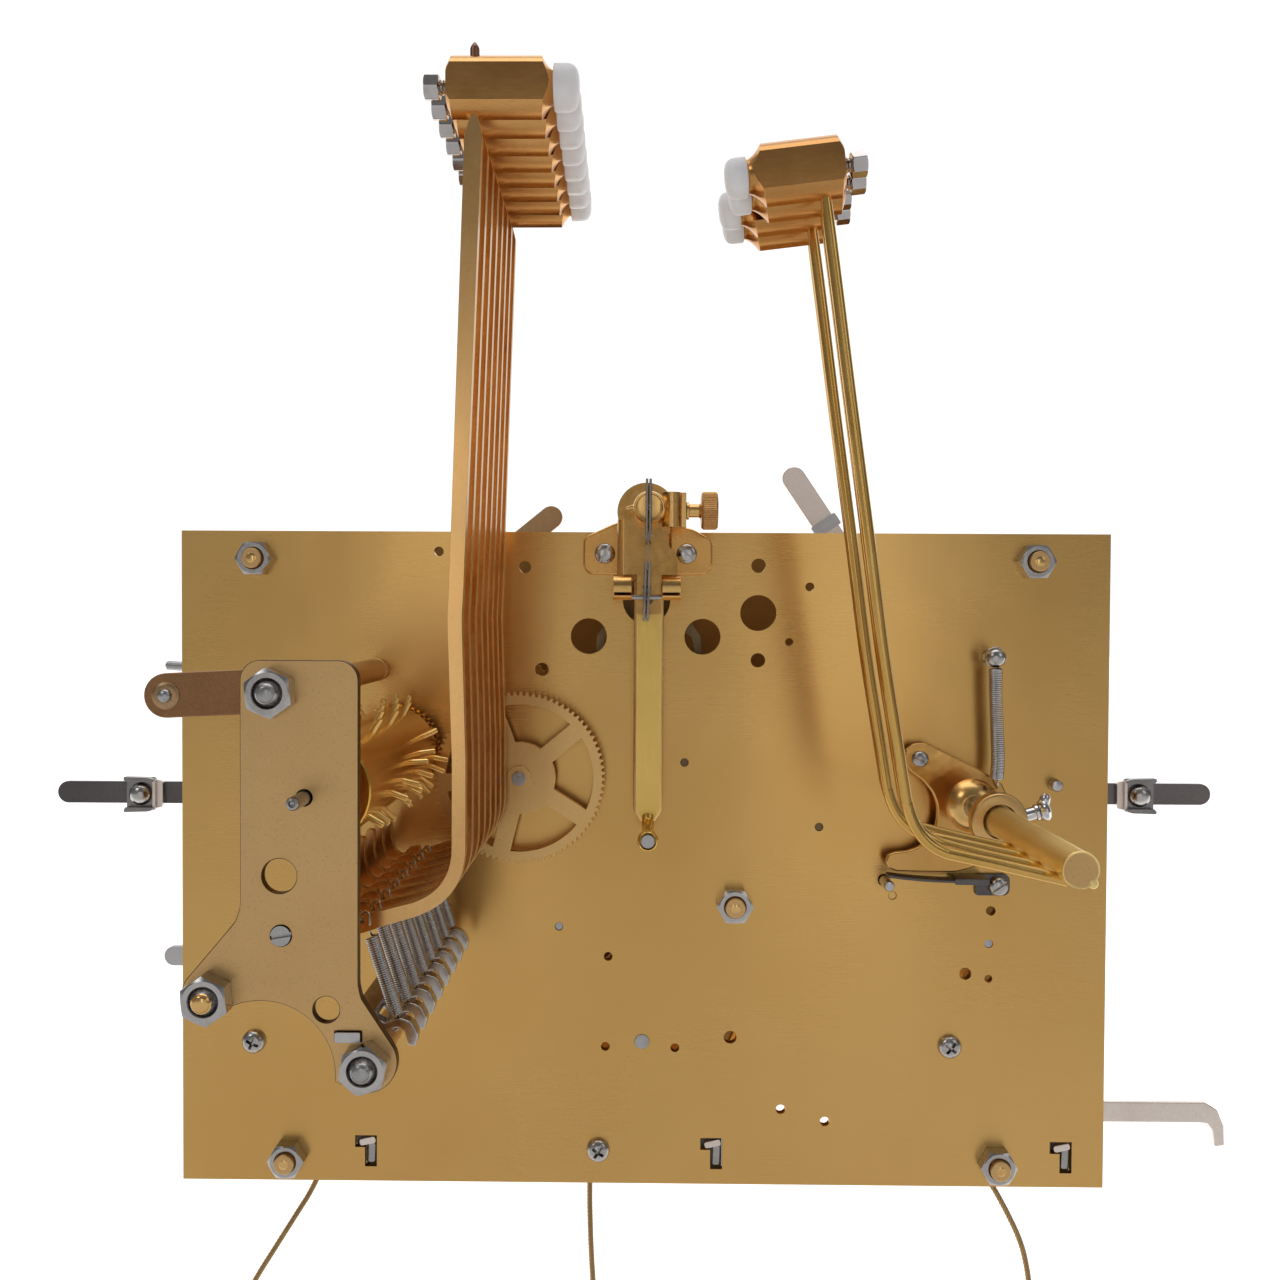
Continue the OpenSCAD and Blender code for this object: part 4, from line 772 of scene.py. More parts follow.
def head_body(bm, m, length, mat=0, nose=1.0):
    """Flattened hexagon bar with slightly domed slopes, turned to a hollow neck at its nose and chamfered at its screw end."""
    rim = []
    for i in range(6):
        a, b = Vector(HEX[i]), Vector(HEX[(i + 1) % 6])
        out = Vector((b.y - a.y, a.x - b.x)).normalized()
        if out.dot(a) < 0:
            out = -out
        dome = 0.03 if i in (0, 3) else 0.42
        rim += [a.lerp(b, j / 8) + out * dome * 4 * (j / 8) * (1 - j / 8) for j in range(8)]
    neck = [(0.0, 6.3), (0.3, 5.6), (0.62, 4.9), (1.05, 4.25), (1.5, 3.7), (1.95, 3.3), (2.4, 3.05), (2.6, 3.0)]
    neck = [(x * nose, r) for x, r in neck]
    rows = [[] for _ in range(3 + len(neck))]
    for v in rim:
        r = v.length
        c, q = v.x / r, v.y / r
        start = next((x0 + (x1 - x0) * (r0 - r) / (r0 - r1) for (x0, r0), (x1, r1) in zip(neck, neck[1:]) if r0 >= r >= r1), 2.0 * nose)
        pts = [(0.0, min(r, 4.0)), (max(0.0, min(r - 4.0, 1.0)) * 0.75, r)]
        pts += [(length - 0.1 + (start if x < start else x), r if x < start else min(r, rr)) for x, rr in neck]
        pts += [(length + 2.55 * nose, 2.6)]
        for row, (x, rr) in zip(rows, pts):
            row.append(bm.verts.new(m @ Vector((x, rr * c, rr * q))))
    skin(bm, rows, mat)


AXIS_X = Matrix(((0, 0, 1, 0), (1, 0, 0, 0), (0, 1, 0, 0), (0, 0, 0, 1)))


def head_tip(bm, m, length, mat=0, nose=1.0, f=0.96, g=1.0):
    e = length + 2.38 * nose
    lathe(bm, m @ AXIS_X, [(r * f, e + x * g) for r, x in [(3.0, 0), (4.3, 0.02), (4.5, 0.2), (4.5, 2.5), (4.38, 3.2), (4.0, 3.9), (3.3, 4.4),
                                                           (2.2, 4.7), (0, 4.78)]], 40, mat)


def head_screw(bm, m, mat=0):
    f = m @ AXIS_X @ Matrix.Rotation(math.pi, 4, "X")
    hexagon(bm, f @ Matrix.Translation((0, 0, 1.5)), 4.5, 2.9, 0, math.radians(18), mat, low=0.5)
    lathe(bm, f, [(1.1, -1.5), (1.1, 0.05), (1.45, 0.2), (1.15, 0.45), (1.45, 0.75), (1.15, 1.0), (1.45, 1.25), (1.3, 1.7)], 24, mat)


# ---------------------------------------------------------------- chime hammers
arm_line = [(-32.05, 236), (-33.7, 189), (-35.2, 147), (-35.36, 144.4), (-35.4, 142.5), (-35.36, 140.4), (-35.2, 135), (-34.6, 116)] + \
    bez((-34.6, 99.5), (-34.6, 89.6), (-45, 87.2), 16) + [(-49.5, 85.9), (-53, 84.8)]


def arm_width(p):
    table = [(84.8, 0.94), (88, 0.8), (107, 0.76), (143, 0.82), (236, 1.0)]
    z = p[1]
    for (a, u), (b, v) in zip(table, table[1:]):
        if z <= b:
            return 3.3 * (u + (v - u) * max(0, z - a) / (b - a))
    return 3.3


right, left = sides(arm_line, arm_width)
outline = [(-31.75, 238.2, 0.2), (-30.49, 233.0)] + right[1:] + [(-56.5, 82.4, 3), (-60.2, 81.7, 3)] + \
    [pol(4.3, a, HP) for a in range(-58, -286, -12)] + \
    [(-63.6, 90.4, 2), (-62.5, 94.6, 0.5), (-60.9, 94.4, 0.5), (-61.0, 89.6, 2.5), (-60.2, 86.4, 1.6), (-58.4, 84.9, 0.9), (-56.6, 86.7, 1.0),
     (-54.2, 87.2, 0.6), (-53.9, 86.2, 0.3), (-53.3, 86.0, 0.2), (-53.2, 85.1, 0.3), (-52.4, 85.1, 0.3), (-52.3, 86.5, 0.3)] + \
    left[:0:-1] + [(-33.79, 233.0), (-32.15, 238.2, 0.2)]
outline = fillet(outline)

for k in range(1, 9):
    node = "chime_hammer_%d" % k
    y = hy(k)
    rest = Matrix.Translation((HP[0], 0, HP[1])) @ Matrix.Rotation(math.radians(-0.04 * (k - 1)), 4, "Y") @ Matrix.Translation((-HP[0], 0, -HP[1]))
    bm = bmesh.new()
    prism(bm, rest @ face_m(0, 0, y), outline, -1.2, 1.2)
    bevel(bm, 0.09, 2, 60)
    # Side faces of the arm take the darker copy of the hammer brass: painted shade.
    for f in bm.faces:
        f.normal_update()
        if abs(f.normal.y) < 0.2:
            f.material_index = 2
    # drawn point of the arm above the head
    lathe(bm, rest @ Matrix.Translation((-32.0, y, 0)), [(0.9, 243.6), (0.9, 249.1), (0.75, 249.6), (0.3, 250.3), (0, 250.45)], 20, 1)
    piece(node + "_arm", bm, [HAMMER, POINT, SIDE_PAINTED_SHADE], node, angle=50)
    m = rest @ Matrix.Translation((-37, y, 242.0))
    bm = bmesh.new()
    head_body(bm, m, 17.5)
    piece(node + "_head", bm, HEAD, node, angle=20)
    bm = bmesh.new()
    head_tip(bm, m, 17.5)
    piece(node + "_tip", bm, NYLON, node)
    bm = bmesh.new()
    head_screw(bm, m)
    piece(node + "_screw", bm, SCREW, node, angle=24)

# ---------------------------------------------------------------- strike hammers
rod_line = [(80.2, 93.9), (72, 95.75), (66, 97.1)] + bez((58.5, 98.7), (51.2, 100.4), (49.6, 110), 10) + \
    [(47.5, 122.6), (45.2, 136.7), (42.2, 159), (38.7, 184.2), (36.2, 203), (33.9, 220.0), (33.35, 224.2)]
rods, heads, tips, screws = bmesh.new(), bmesh.new(), bmesh.new(), bmesh.new()
for k in range(1, 5):
    y, o = hy(k), 1.3 if k % 2 == 0 else 0.0
    path = spline([(x + (o if i >= 3 else 0), y, z) for i, (x, z) in enumerate(rod_line)], 6)
    sweep(rods, path, lambda t: ring(1.15 if t < 0.93 else 1.15 - 0.25 * (t - 0.93) / 0.07, 18), ref=(0, 1, 0))
    m = Matrix.Translation((36.85 + o, y, 227.6)) @ Matrix.Rotation(math.radians(173.1), 4, "Y")
    head_body(heads, m, 14.8, nose=1.38)
    head_tip(tips, m, 14.8, nose=1.38, f=0.83, g=0.86)
    head_screw(screws, m)
piece("strike_rods", rods, ROD, "strike_hammers", angle=60)
piece("strike_heads", heads, STRIKE, "strike_hammers", angle=20)
piece("strike_tips", tips, NYLON, "strike_hammers")
piece("strike_screws", screws, SCREW, "strike_hammers", angle=24)

# ---------------------------------------------------------------- strike arbor
bm = bmesh.new()
m = face_m(SA[0], SA[1], YB)
lathe(bm, m, [(2.3, -10), (3.0, -9.6), (3.0, 0.3), (7.3, 0.4), (7.6, 0.7), (7.6, 2.6), (7.45, 3.6), (7.05, 4.8), (6.4, 6.0), (5.5, 7.1), (4.4, 8.0),
              (3.4, 8.45), (2.9, 8.55), (2.5, 8.3)], 64, 0)
lathe(bm, m, [(1.0, -64.7), (1.0, -29), (2.2, -28.6), (2.2, 28.2)], 32, 1)
lathe(bm, m, [(2.4, 27.4), (6.2, 27.4), (6.5, 27.7), (6.5, 30.3), (6.3, 30.7), (5.85, 31.0), (3.95, 31.05), (3.75, 30.7), (3.7, 29.0)], 64, 3)
# tube with its end disc and rim; the tube's sides are in the pale tube brass, a painted bright reflection, the end disc
# in satin brass
lathe(bm, m, [(0, 29.5), (3.42, 29.5), (3.42, 84.9), (3.5, 85.1), (3.5, 85.8), (3.4, 86.0), (3.22, 85.97), (3.1, 85.85)], 56, 2, cap=False)
lathe(bm, m, [(3.1, 85.85), (2.0, 85.83), (0, 85.82)], 56, 4, cap=False)
lathe(bm, Matrix.Translation(m @ Vector((2.35, -2.6, 84.6))) @ face_m(0, 0, 0).to_3x3().to_4x4(),
      [(0.95, -1.2), (1.0, 0.9), (0.75, 1.3), (0, 1.5)], 20, 2)
piece("strike_arbor_turned", bm, [SOFT, STEEL, TUBE_PAINTED_REFLECTION, WHEEL, SATIN], "strike_arbor")
# clamp screw of the collar with its winged head
bm = bmesh.new()
m = along((SA[0] + 5.6, YB - 29.2, SA[1] + 1.15), (4.2, 0, 1.2), (0, -1, 0))
lathe(bm, m, [(1.3, -1), (1.5, 0.2), (1.5, 2.6), (1.9, 2.8), (1.9, 3.4), (1.4, 3.7)], 28)
lathe(bm, m, [(1.3, 3.5), (2.2, 3.9), (2.65, 4.6), (2.7, 5.1), (2.3, 5.7), (1.3, 6.15), (0, 6.3)], 32)
lathe(bm, m @ Matrix.Translation((0.2, -0.4, 4.6)) @ Matrix.Rotation(math.radians(62), 4, "X"), [(0.9, -0.5), (1.25, 1.6), (1.2, 2.8), (0.7, 3.5), (0, 3.65)], 24)
piece("strike_clamp_screw", bm, CHROME, "strike_arbor")
bm = bmesh.new()
sickle = [(64.4, 110.6, 1.2), (66.6, 112.2, 1.6), (70, 112.2, 3), (84, 105.2, 8), (88.2, 102.4, 2), (89.6, 99.2, 3), (88.8, 93, 8), (86, 86, 6),
          (82, 81.8, 4), (77, 80.5, 6), (69, 80.5, 9), (62.5, 80.6, 2), (60.5, 81.4, 1), (59.9, 83, 1.2), (60.5, 84.7, 1), (62, 85.3, 2), (64.9, 85.6, 3),
          (67.4, 86.4, 4), (69.6, 87.9, 4), (71.4, 90.2, 4), (72.3, 93.1, 5), (72.4, 97, 5), (71.2, 100.1, 5), (68.9, 102.9, 5), (65.8, 105.2, 3), (64.3, 107.2, 2)]
slab(bm, fillet(sickle), 3.8, 5.6, 0)
bevel(bm, 0.45, 3, 60)
# Side and bevel faces of the plate take the lighter soft brass: painted highlight along its edges.
rim(bm, 2)
prism(bm, face_m(0, 0, -24), fillet([(79, 97, 0), (83, 97.6, 1), (92, 86, 2), (94, 80.6, 0.8), (92.4, 80, 0.8), (87, 84, 2), (79, 93, 1)]), -1.6, 0, 0)
lathe(bm, face_m(68, 108.4, YB), [(1.28, 3.2), (1.28, 5.7), (2.0, 5.75), (1.95, 6.3), (1.3, 6.75), (0, 6.9)], 28, 1)
piece("strike_lever_plate", bm, [SHEEN, STEEL, SOFT], "strike_arbor", angle=50)

bm = bmesh.new()
slab(bm, fillet([(83, 73.8, 0.8), (91.6, 73.8, 1.6), (91.6, 79.2, 1.6), (83, 79.2, 0.4)]), 0, 1.2)
slab(bm, fillet([(76.4, 77.7, 0.6), (84.9, 77.7, 0.3), (84.9, 79.2, 0.3), (76.4, 79.2, 0.6)]), 0.05, 7.5)
slab(bm, [(60.2, 80), (60.2, 79.35), (64, 78.85), (68, 78.5), (72, 78.25), (77, 78.1), (77, 78.75), (72, 78.9), (68, 79.15), (64, 79.5)], 2.5, 7.4)
bevel(bm, 0.18, 2, 50)
piece("strike_leaf_spring", bm, SHEET, "strike_leaf", angle=45)

bm = bmesh.new()
y = YB - 8
top, bot = Vector((85.6, y, 130.7)), Vector((86.15, y, 104.0))
line = [top, Vector((85.75, y, 124)), Vector((86.1, y, 116)), Vector((86.4, y, 109)), bot]
ctr = spline(line, 14)
n = 14
rows = []
turns = 62
total = turns * n
pts = []
for i in range(total + 1):
    t = i / total * (len(ctr) - 1)
    a = min(int(t), len(ctr) - 2)
    p = ctr[a].lerp(ctr[a + 1], t - a)
    ph = 2 * math.pi * i / n
    pts.append(p + Vector((math.cos(ph) * 1.48, math.sin(ph) * 1.48, 0)))
sweep(bm, pts, ring(0.215, 6))
sweep(bm, spline([top + Vector((0.9, 0.6, 0.1)), top + Vector((0.3, 0.3, 0.9)), Vector((84.0, y + 0.2, 131.6)), Vector((83.4, y + 0.4, 133.6)),
                  Vector((84.6, y + 0.6, 135.5)), Vector((86.6, y + 0.6, 135.7)), Vector((88, y + 0.4, 134)), Vector((87.8, y + 0.2, 132.2))], 6), ring(0.26, 8))
sweep(bm, spline([bot + Vector((0.9, 0.6, -0.1)), bot + Vector((0.4, 0.5, -0.9)), Vector((86.8, y + 1.2, 102.0)), Vector((87.0, y + 3.0, 101.0)),
                  Vector((87.2, y + 4.6, 100.6)), Vector((87.0, y + 5.0, 101.8))], 6), ring(0.26, 8))
piece("strike_spring_coil", bm, NICKEL, "strike_return_spring", angle=60,
      blend=("movement_frame", "strike_hammer_set", (85.65, y, 130.2), (86.4, y, 103)))

# ---------------------------------------------------------------- suspension cock
bm = bmesh.new()
slab(bm, fillet([(-15.2, 153.4, 2.6), (-6.0, 153.4), (-6.0, 166.6), (-8, 165.9, 0.8), (-15.2, 162.6, 2.4)]), 0, 1.6)
slab(bm, fillet([(6.2, 153.4), (16.9, 153.4, 3), (16.9, 162.2, 3.2), (12, 164.8, 4), (6.2, 166.2)]), 0, 1.6)
bevel(bm, 0.6, 3, 60)
# Side and bevel faces of the feet take the lighter soft brass: painted highlight along their border.
rim(bm, 1)
piece("cock_feet", bm, [FOOT, SOFT], "suspension_cock", angle=50)
bm = bmesh.new()
upright = Matrix(((1, 0, 0, 0), (0, -1, 0, YB), (0, 0, 1, 0), (0, 0, 0, 1)))
bend = [(-6.6, 0.2), (-6.6, 7.3)] + [(-4.9 + 1.7 * math.cos(math.radians(a)), 7.3 + 1.7 * math.sin(math.radians(a))) for a in range(170, 89, -10)] + [(-4.9, 7.4), (-5.2, 7.0), (-5.2, 0.2)]
prism(bm, upright, bend, 153.2, 166.6)
slab(bm, [(6.9, 153.2), (8.1, 153.2), (8.1, 157.6), (6.9, 157.6)], 0.2, 7.9)
face = [(-4.95, 153.2), (-4.95, 166.5)] + [pol(7.1, a, (0.5, 168.4)) for a in range(195, 29, -6)] + \
    fillet([(7.0, 165.8, 1.5), (5.9, 163.2, 1.5), (5.6, 161.3, 1.6), (6.2, 159.8, 1.6), (7.6, 158.4, 1.2), (8.1, 156.6, 1.2), (8.1, 153.2, 0)])
face_bm = bmesh.new()
slab(face_bm, face, 7.4, 9)
bevel(face_bm, 0.45, 3, 60, keep=lambda e: any(v.co.x > -4.9 or v.co.z > 166.6 for v in e.verts))
# Side and bevel faces of the face take the lighter soft brass: painted highlight along its edges.
rim(face_bm, 1)
slab(face_bm, fillet([(-1.8, 143.6, 0.5), (4.2, 143.6, 0.5), (4.2, 153.6, 0), (-1.8, 153.6, 0)]), 7.4, 8.6)
piece("cock_frame", face_bm, [SHEEN, SOFT], "suspension_cock", angle=50)
piece("cock_walls", bm, SOFT, "suspension_cock", angle=30)
bm = bmesh.new()
m = face_m(1.2, 168.6, YB)
lathe(bm, m, [(3.4, 8.6), (3.85, 9.2), (3.85, 20.9), (3.72, 21.6), (3.45, 21.95), (3.15, 21.9), (3.0, 21.5), (2.95, 21.2), (2.4, 21.1), (0, 21.05)], 56)
tool = bmesh.new()
prism(tool, m, [(-0.95, -5), (0.55, -5), (0.55, 5), (-0.95, 5)], 10.5, 24)
bm = cut(bm, tool)
# taper pin through the stud
sweep(bm, [m @ Vector(p) for p in ((-2.6, 0.4, 18.4), (-3.9, 0.2, 18.6), (-5.0, -0.05, 18.8), (-5.6, -0.2, 18.9))], lambda t: ring(0.75 - 0.45 * t, 16))
# clamp block with its rounded front
plan = [(4.2, 7.4), (10.0, 7.4), (10.0, 14.1), (8.9, 14.2)] + [(6.5 + 2.3 * math.cos(math.radians(a)), 14.2 + 2.3 * math.sin(math.radians(a))) for a in range(0, 181, 12)]
lo = [bm.verts.new(Vector((u, YB - d, 164.4))) for u, d in plan]
hi = [bm.verts.new(Vector((u, YB - d, 172.7))) for u, d in plan]
skin(bm, [lo, hi])
bevel(bm, 0.3, 2, 60, keep=lambda e: all(v.co.x > 4 for v in e.verts))
# rolled lugs with an open seam, and the cross pin between them
for x0, x1 in ((-7.5, -2.9), (4.3, 8.9)):
    outer = [(3.0 * math.cos(math.radians(a)), 3.0 * math.sin(math.radians(a))) for a in range(-24, 325, 8)]
    inner = [(1.75 * math.cos(math.radians(a)), 1.75 * math.sin(math.radians(a))) for a in range(-24, 325, 8)][::-1]
    sec = [(YB - 10.25 - u, 150 + v) for u, v in outer + inner]
    bl = bmesh.new()
    skin(bl, [[bl.verts.new((x0, a, b)) for a, b in sec], [bl.verts.new((x1, a, b)) for a, b in sec]])
    bevel(bl, 0.2, 2, 60)
    me = bpy.data.meshes.new("tmp")
    bl.to_mesh(me)
    bl.free()
    bm.from_mesh(me)
    bpy.data.meshes.remove(me)
    lathe(bm, along((x0 + 0.3, YB - 10.25, 150), (1, 0, 0)), [(1.5, 0), (1.55, x1 - x0 - 0.6)], 28, 2)
lathe(bm, along((-3.2, YB - 10.6, 147.7), (1, 0, 0)), [(0.6, 0), (0.6, 7.8)], 18, 1)
piece("cock_stud_block_lugs", bm, [SOFT, STEEL, SHEET], "suspension_cock", angle=40)

bm = bmesh.new()
m = along((7.4, YB - 12, 168.5), (1, 0, 0), (0, 0, 1))
lathe(bm, m, [(1.5, 0), (1.75, 0.2), (1.75, 2.6), (2.15, 2.75), (2.15, 3.2), (1.6, 3.4), (1.6, 5.6), (1.9, 6.1), (1.9, 6.4)], 36)
n = 480
knurl = [1.0 - 0.024 * abs(math.sin(60 * math.pi * i / n)) for i in range(n)]
rows = []
for r, h, kk in [(3.4, 6.1, 0), (4.15, 6.25, 0), (4.5, 6.7, 1), (4.55, 7.0, 1), (4.55, 9.5, 1), (4.5, 9.8, 1), (4.1, 10.15, 0), (3.2, 10.2, 0)]:
    rows.append([bm.verts.new(m @ Vector((r * (f if kk else 1) * math.cos(2 * math.pi * i / n), r * (f if kk else 1) * math.sin(2 * math.pi * i / n), h)))
                 for i, f in enumerate(knurl)])
skin(bm, rows)
for f in bm.faces:
    f.material_index = 1 if f.calc_center_median().x > 13.3 else 0
piece("beat_screw_knurled", bm, [SOFT, KNOB], "beat_screw", angle=30)

bm = bmesh.new()


def plates_pair(z0, z1, x0, x1, d0, d1, k=10):
    for s in (-0.42, 0.42):
        pts = [(x0 + (x1 - x0) * i / k + s, z0 + (z1 - z0) * i / k) for i in range(k + 1)]
        out = [(x - 0.3, z) for x, z in pts] + [(x + 0.3, z) for x, z in pts[::-1]]
        slab(bm, out, d0, d1)


plates_pair(161, 175.3, 0.95, 1.0, 11.8, 21.2)
plates_pair(142, 155.8, 0.45, 0.85, 11.8, 21.2)
bevel(bm, 0.1, 1, 60)
sp = [(0.85 + 0.1 * (z - 154) / 9, z) for z in (154 + 0.75 * i for i in range(13))]
slab(bm, [(x - 0.16, z) for x, z in sp] + [(x + 0.16, z) for x, z in sp[::-1]], 12.4, 20.6)
for z, x in ((168.6, 0.98), (149.5, 0.66)):
    lathe(bm, along((x - 1.0, YB - 16.5, z), (1, 0, 0)), [(0.9, 0), (0.9, 2.0)], 20)
piece("suspension_strip", bm, STRIP, "suspension_spring", angle=40,
      blend=("movement_frame", "suspension_spring", (0.95, YB - 16, 163.5), (0.9, YB - 16, 156.5)))

cad_copy("anchor", BRONZE, width=0.2)
bm = bmesh.new()
cx, cz = AN
slab(bm, fillet([(cx - 3.6, cz + 5.4, 1.2), (cx - 3.6, 95.2, 3), (cx - 1.6, 92.4, 0.8), (cx + 1.6, 92.4, 0.8), (cx + 3.6, 95.2, 3), (cx + 3.6, cz + 5.4, 1.2)]), 5.4, 7)
bevel(bm, 0.75, 3, 60)
# Side and bevel faces of the strap take the pale rim brass: painted highlight along its edges.
rim(bm, 2, 0.97)
neck = spline([(cx, YB - 6.2, 94.2), (cx, YB - 7.0, 92.6), (cx, YB - 9.5, 91.5), (cx, YB - 14, 90.9), (cx, YB - 19.5, 90.2)], 6)
sweep(bm, neck, ring(1.5, 24), ref=(1, 0, 0))
lathe(bm, face_m(cx, 90.2, YB), [(1.4, 17.2), (2.2, 17.4), (2.46, 17.9), (2.46, 20.4), (2.25, 20.85), (1.98, 20.95), (1.85, 20.6), (1.85, 19.8)], 40)
lathe(bm, face_m(cx, 90.2, YB), [(1.7, 18.0), (1.7, 20.75), (1.55, 20.95), (0, 21.0)], 32, 1)
lathe(bm, face_m(cx, cz, YB), [(1.0, 5.0), (2.7, 5.05), (2.8, 5.4), (2.8, 7.2), (1.9, 7.4), (1.0, 7.4)], 32, 1)
piece("crutch_strap", bm, [CRUTCH, STEEL, RIM_PAINTED_HIGHLIGHT], "crutch", angle=50)


# ---------------------------------------------------------------- trains
def wheel_faces(c, bands, rmin=2.35):
    def choose(p):
        r = math.hypot(p.x - c[0], p.z - c[1])
        if p.y < -31.4 and r < 1.5:
            return 2
        return 0 if r > rmin and any(a - 0.15 <= p.y <= b + 0.15 for a, b in bands) else 1
    return choose


for node, c, bands in [
        ("going_intermediate_wheel", (-21, 65), [(21, 23)]), ("centre_wheel", (0, 87), [(2, 4)]), ("third_wheel", (10.3, 106.5), [(-12, -10)]),
        ("escape_wheel", (1.2, 124), [(-20, -18.4)]), ("strike_second_wheel", (86.8, 61.4), [(15, 17)]),
        ("strike_third_wheel", (62.6, 73.4), [(21, 23)]), ("chime_second_wheel", (-55, 62.9), [(15, 17)]),
        ("strike_fly", (44.1, 90.5), [(-15, 10)]), ("chime_fly", (-44.0, 129.1), [(-15, 8)])]:
    end = PLATE if node == "strike_third_wheel" else BRONZE if node in ("third_wheel", "strike_fly") else STEEL
    cad_copy(node, [WHEEL, STEEL, end], wheel_faces(c, bands), width=0.1, seg=1)
def chime_wheel_faces(p):
    r = math.hypot(p.x - CW[0], p.z - CW[1])
    return 0 if YB - 7.1 <= p.y <= YB - 0.4 or (14.85 <= p.y <= 17.15 and r > 1.9) else 1


cad_copy("chime_wheel", [WHEEL, STEEL], chime_wheel_faces, width=0.12, seg=2)
cad_copy("minute_wheel", WHEEL, width=0.1, seg=1)
cad_copy("hour_wheel", WHEEL, width=0.1, seg=1)
for side in ("going", "strike", "chime"):
    cad_copy(side + "_great_wheel", WHEEL, width=0.12, seg=1)

for node, x, rear in [("going_barrel", 0, YB - 0.2), ("strike_barrel", 70, -29.7), ("chime_barrel", -70, -29.7)]:
    bm = bmesh.new()
    m = Matrix(((1, 0, 0, x), (0, 0, 1, 0), (0, -1, 0, 36), (0, 0, 0, 1)))
    lathe(bm, m, [(4.2, -23.5), (14.8, -23.5), (15.1, -23.2), (15.1, -22.3), (14.8, -22), (12.5, -22), (12.5, 5.5), (14.8, 5.5), (15.1, 5.8), (15.1, 6.7), (14.8, 7), (4.2, 7)], 72, 0)
    lathe(bm, m, [(1.8, rear), (1.8, -29.6), (4.0, -29.5), (4.0, YF + 6), (2.4, YF + 6.02)], 36, 1)
    teeth = [pol(10 if i % 2 == 0 else 8.4, 7.5 * i + (5 if i % 2 == 0 else 0)) for i in range(48)]
    prism(bm, m, teeth, 12.2, 14, 1)
    prism(bm, m, fillet([(-2.6, -2.6, 0.4), (2.6, -2.6, 0.4), (2.6, 2.6, 0.4), (-2.6, 2.6, 0.4)]), YF + 5.5, YF + 22, 1)
    helix = [m @ Vector((12.75 * math.cos(a), 12.75 * math.sin(a), -21.2 + 1.5 * a / (2 * math.pi))) for a in (2 * math.pi * i / 40 for i in range(17 * 40 + 20))]
    sweep(bm, helix, ring(0.72, 7), 2)
    piece(node + "_drum", bm, [WHEEL, STEEL, CABLE], node)

# pinned chime drum
bm = bmesh.new()
m = face_m(CD[0], CD[1], YB)
lathe(bm, m, [(2.2, 8.5), (10.0, 8.5), (10.3, 8.8), (10.3, 84.0), (10.0, 84.3), (9.2, 84.3), (9.0, 83.9), (5.5, 83.7), (5.2, 84.4), (2.6, 84.6)], 96, 0)
lathe(bm, m, [(1.25, -2.3), (1.25, 0.4), (2.4, 0.5), (2.4, 90.0), (1.25, 90.1), (1.25, 100.1), (1.0, 100.6), (0.62, 100.75), (0.5, 100.2), (0, 99.9)], 36, 1)
pitch = 2 * math.hypot(CW[0] - CD[0], CW[1] - CD[1]) / 126
t0 = math.degrees(math.atan2(CD[1] - CW[1], CD[0] - CW[0])) + 180 + 180 / 42
rp = 21 * pitch
teeth = []
for i in range(42):
    a = t0 + 360 * i / 42
    teeth += [pol(rp - 1.05 * pitch, a - 2.6), pol(rp, a - 1.8), pol(rp + 0.65 * pitch, a - 0.95), pol(rp + 0.65 * pitch, a + 0.95), pol(rp, a + 1.8), pol(rp - 1.05 * pitch, a + 2.6)]
prism(bm, m, teeth, 4, 6, 0)
for k in range(1, 9):
    d = 80.5 - 9.9 * (k - 1)
    seen = [(62, -30), (70, 84, -36, -70), (58, 78, -20, -41, -80), (66, 87, -13, -31), (74, 60, -25, 3), (82, 68, -16, -39, 8),
            (64, 77, 25, -33, -62), (72, 86, -22, -49, -10)][k - 1]
    angles = list(seen) + [112 + 7 * ((k * 3) % 5), 158 + 6 * ((k * 5) % 4), 212 + 8 * ((k * 3) % 4), 254 + 5 * (k % 3)]
    for a in angles:
        c, s = math.cos(math.radians(a)), math.sin(math.radians(a))
        lathe(bm, along(m @ Vector((9.6 * c, 9.6 * s, d)), (c, 0, s)), [(0.66, 0), (0.66, 3.95), (0.5, 4.25), (0, 4.32)], 16, 2)
# The pins take the bright pin brass: painted highlight.
piece("chime_drum_pinned", bm, [DRUM, STEEL, PIN_PAINTED_HIGHLIGHT], "chime_drum")


# ---------------------------------------------------------------- levers
def strap_pts(a, b, w, step=10):
    t = math.degrees(math.atan2(b[1] - a[1], b[0] - a[0]))
    return [pol(w / 2, t + 90 + s, a) for s in range(0, 181, step)] + [pol(w / 2, t - 90 + s, b) for s in range(0, 181, step)]


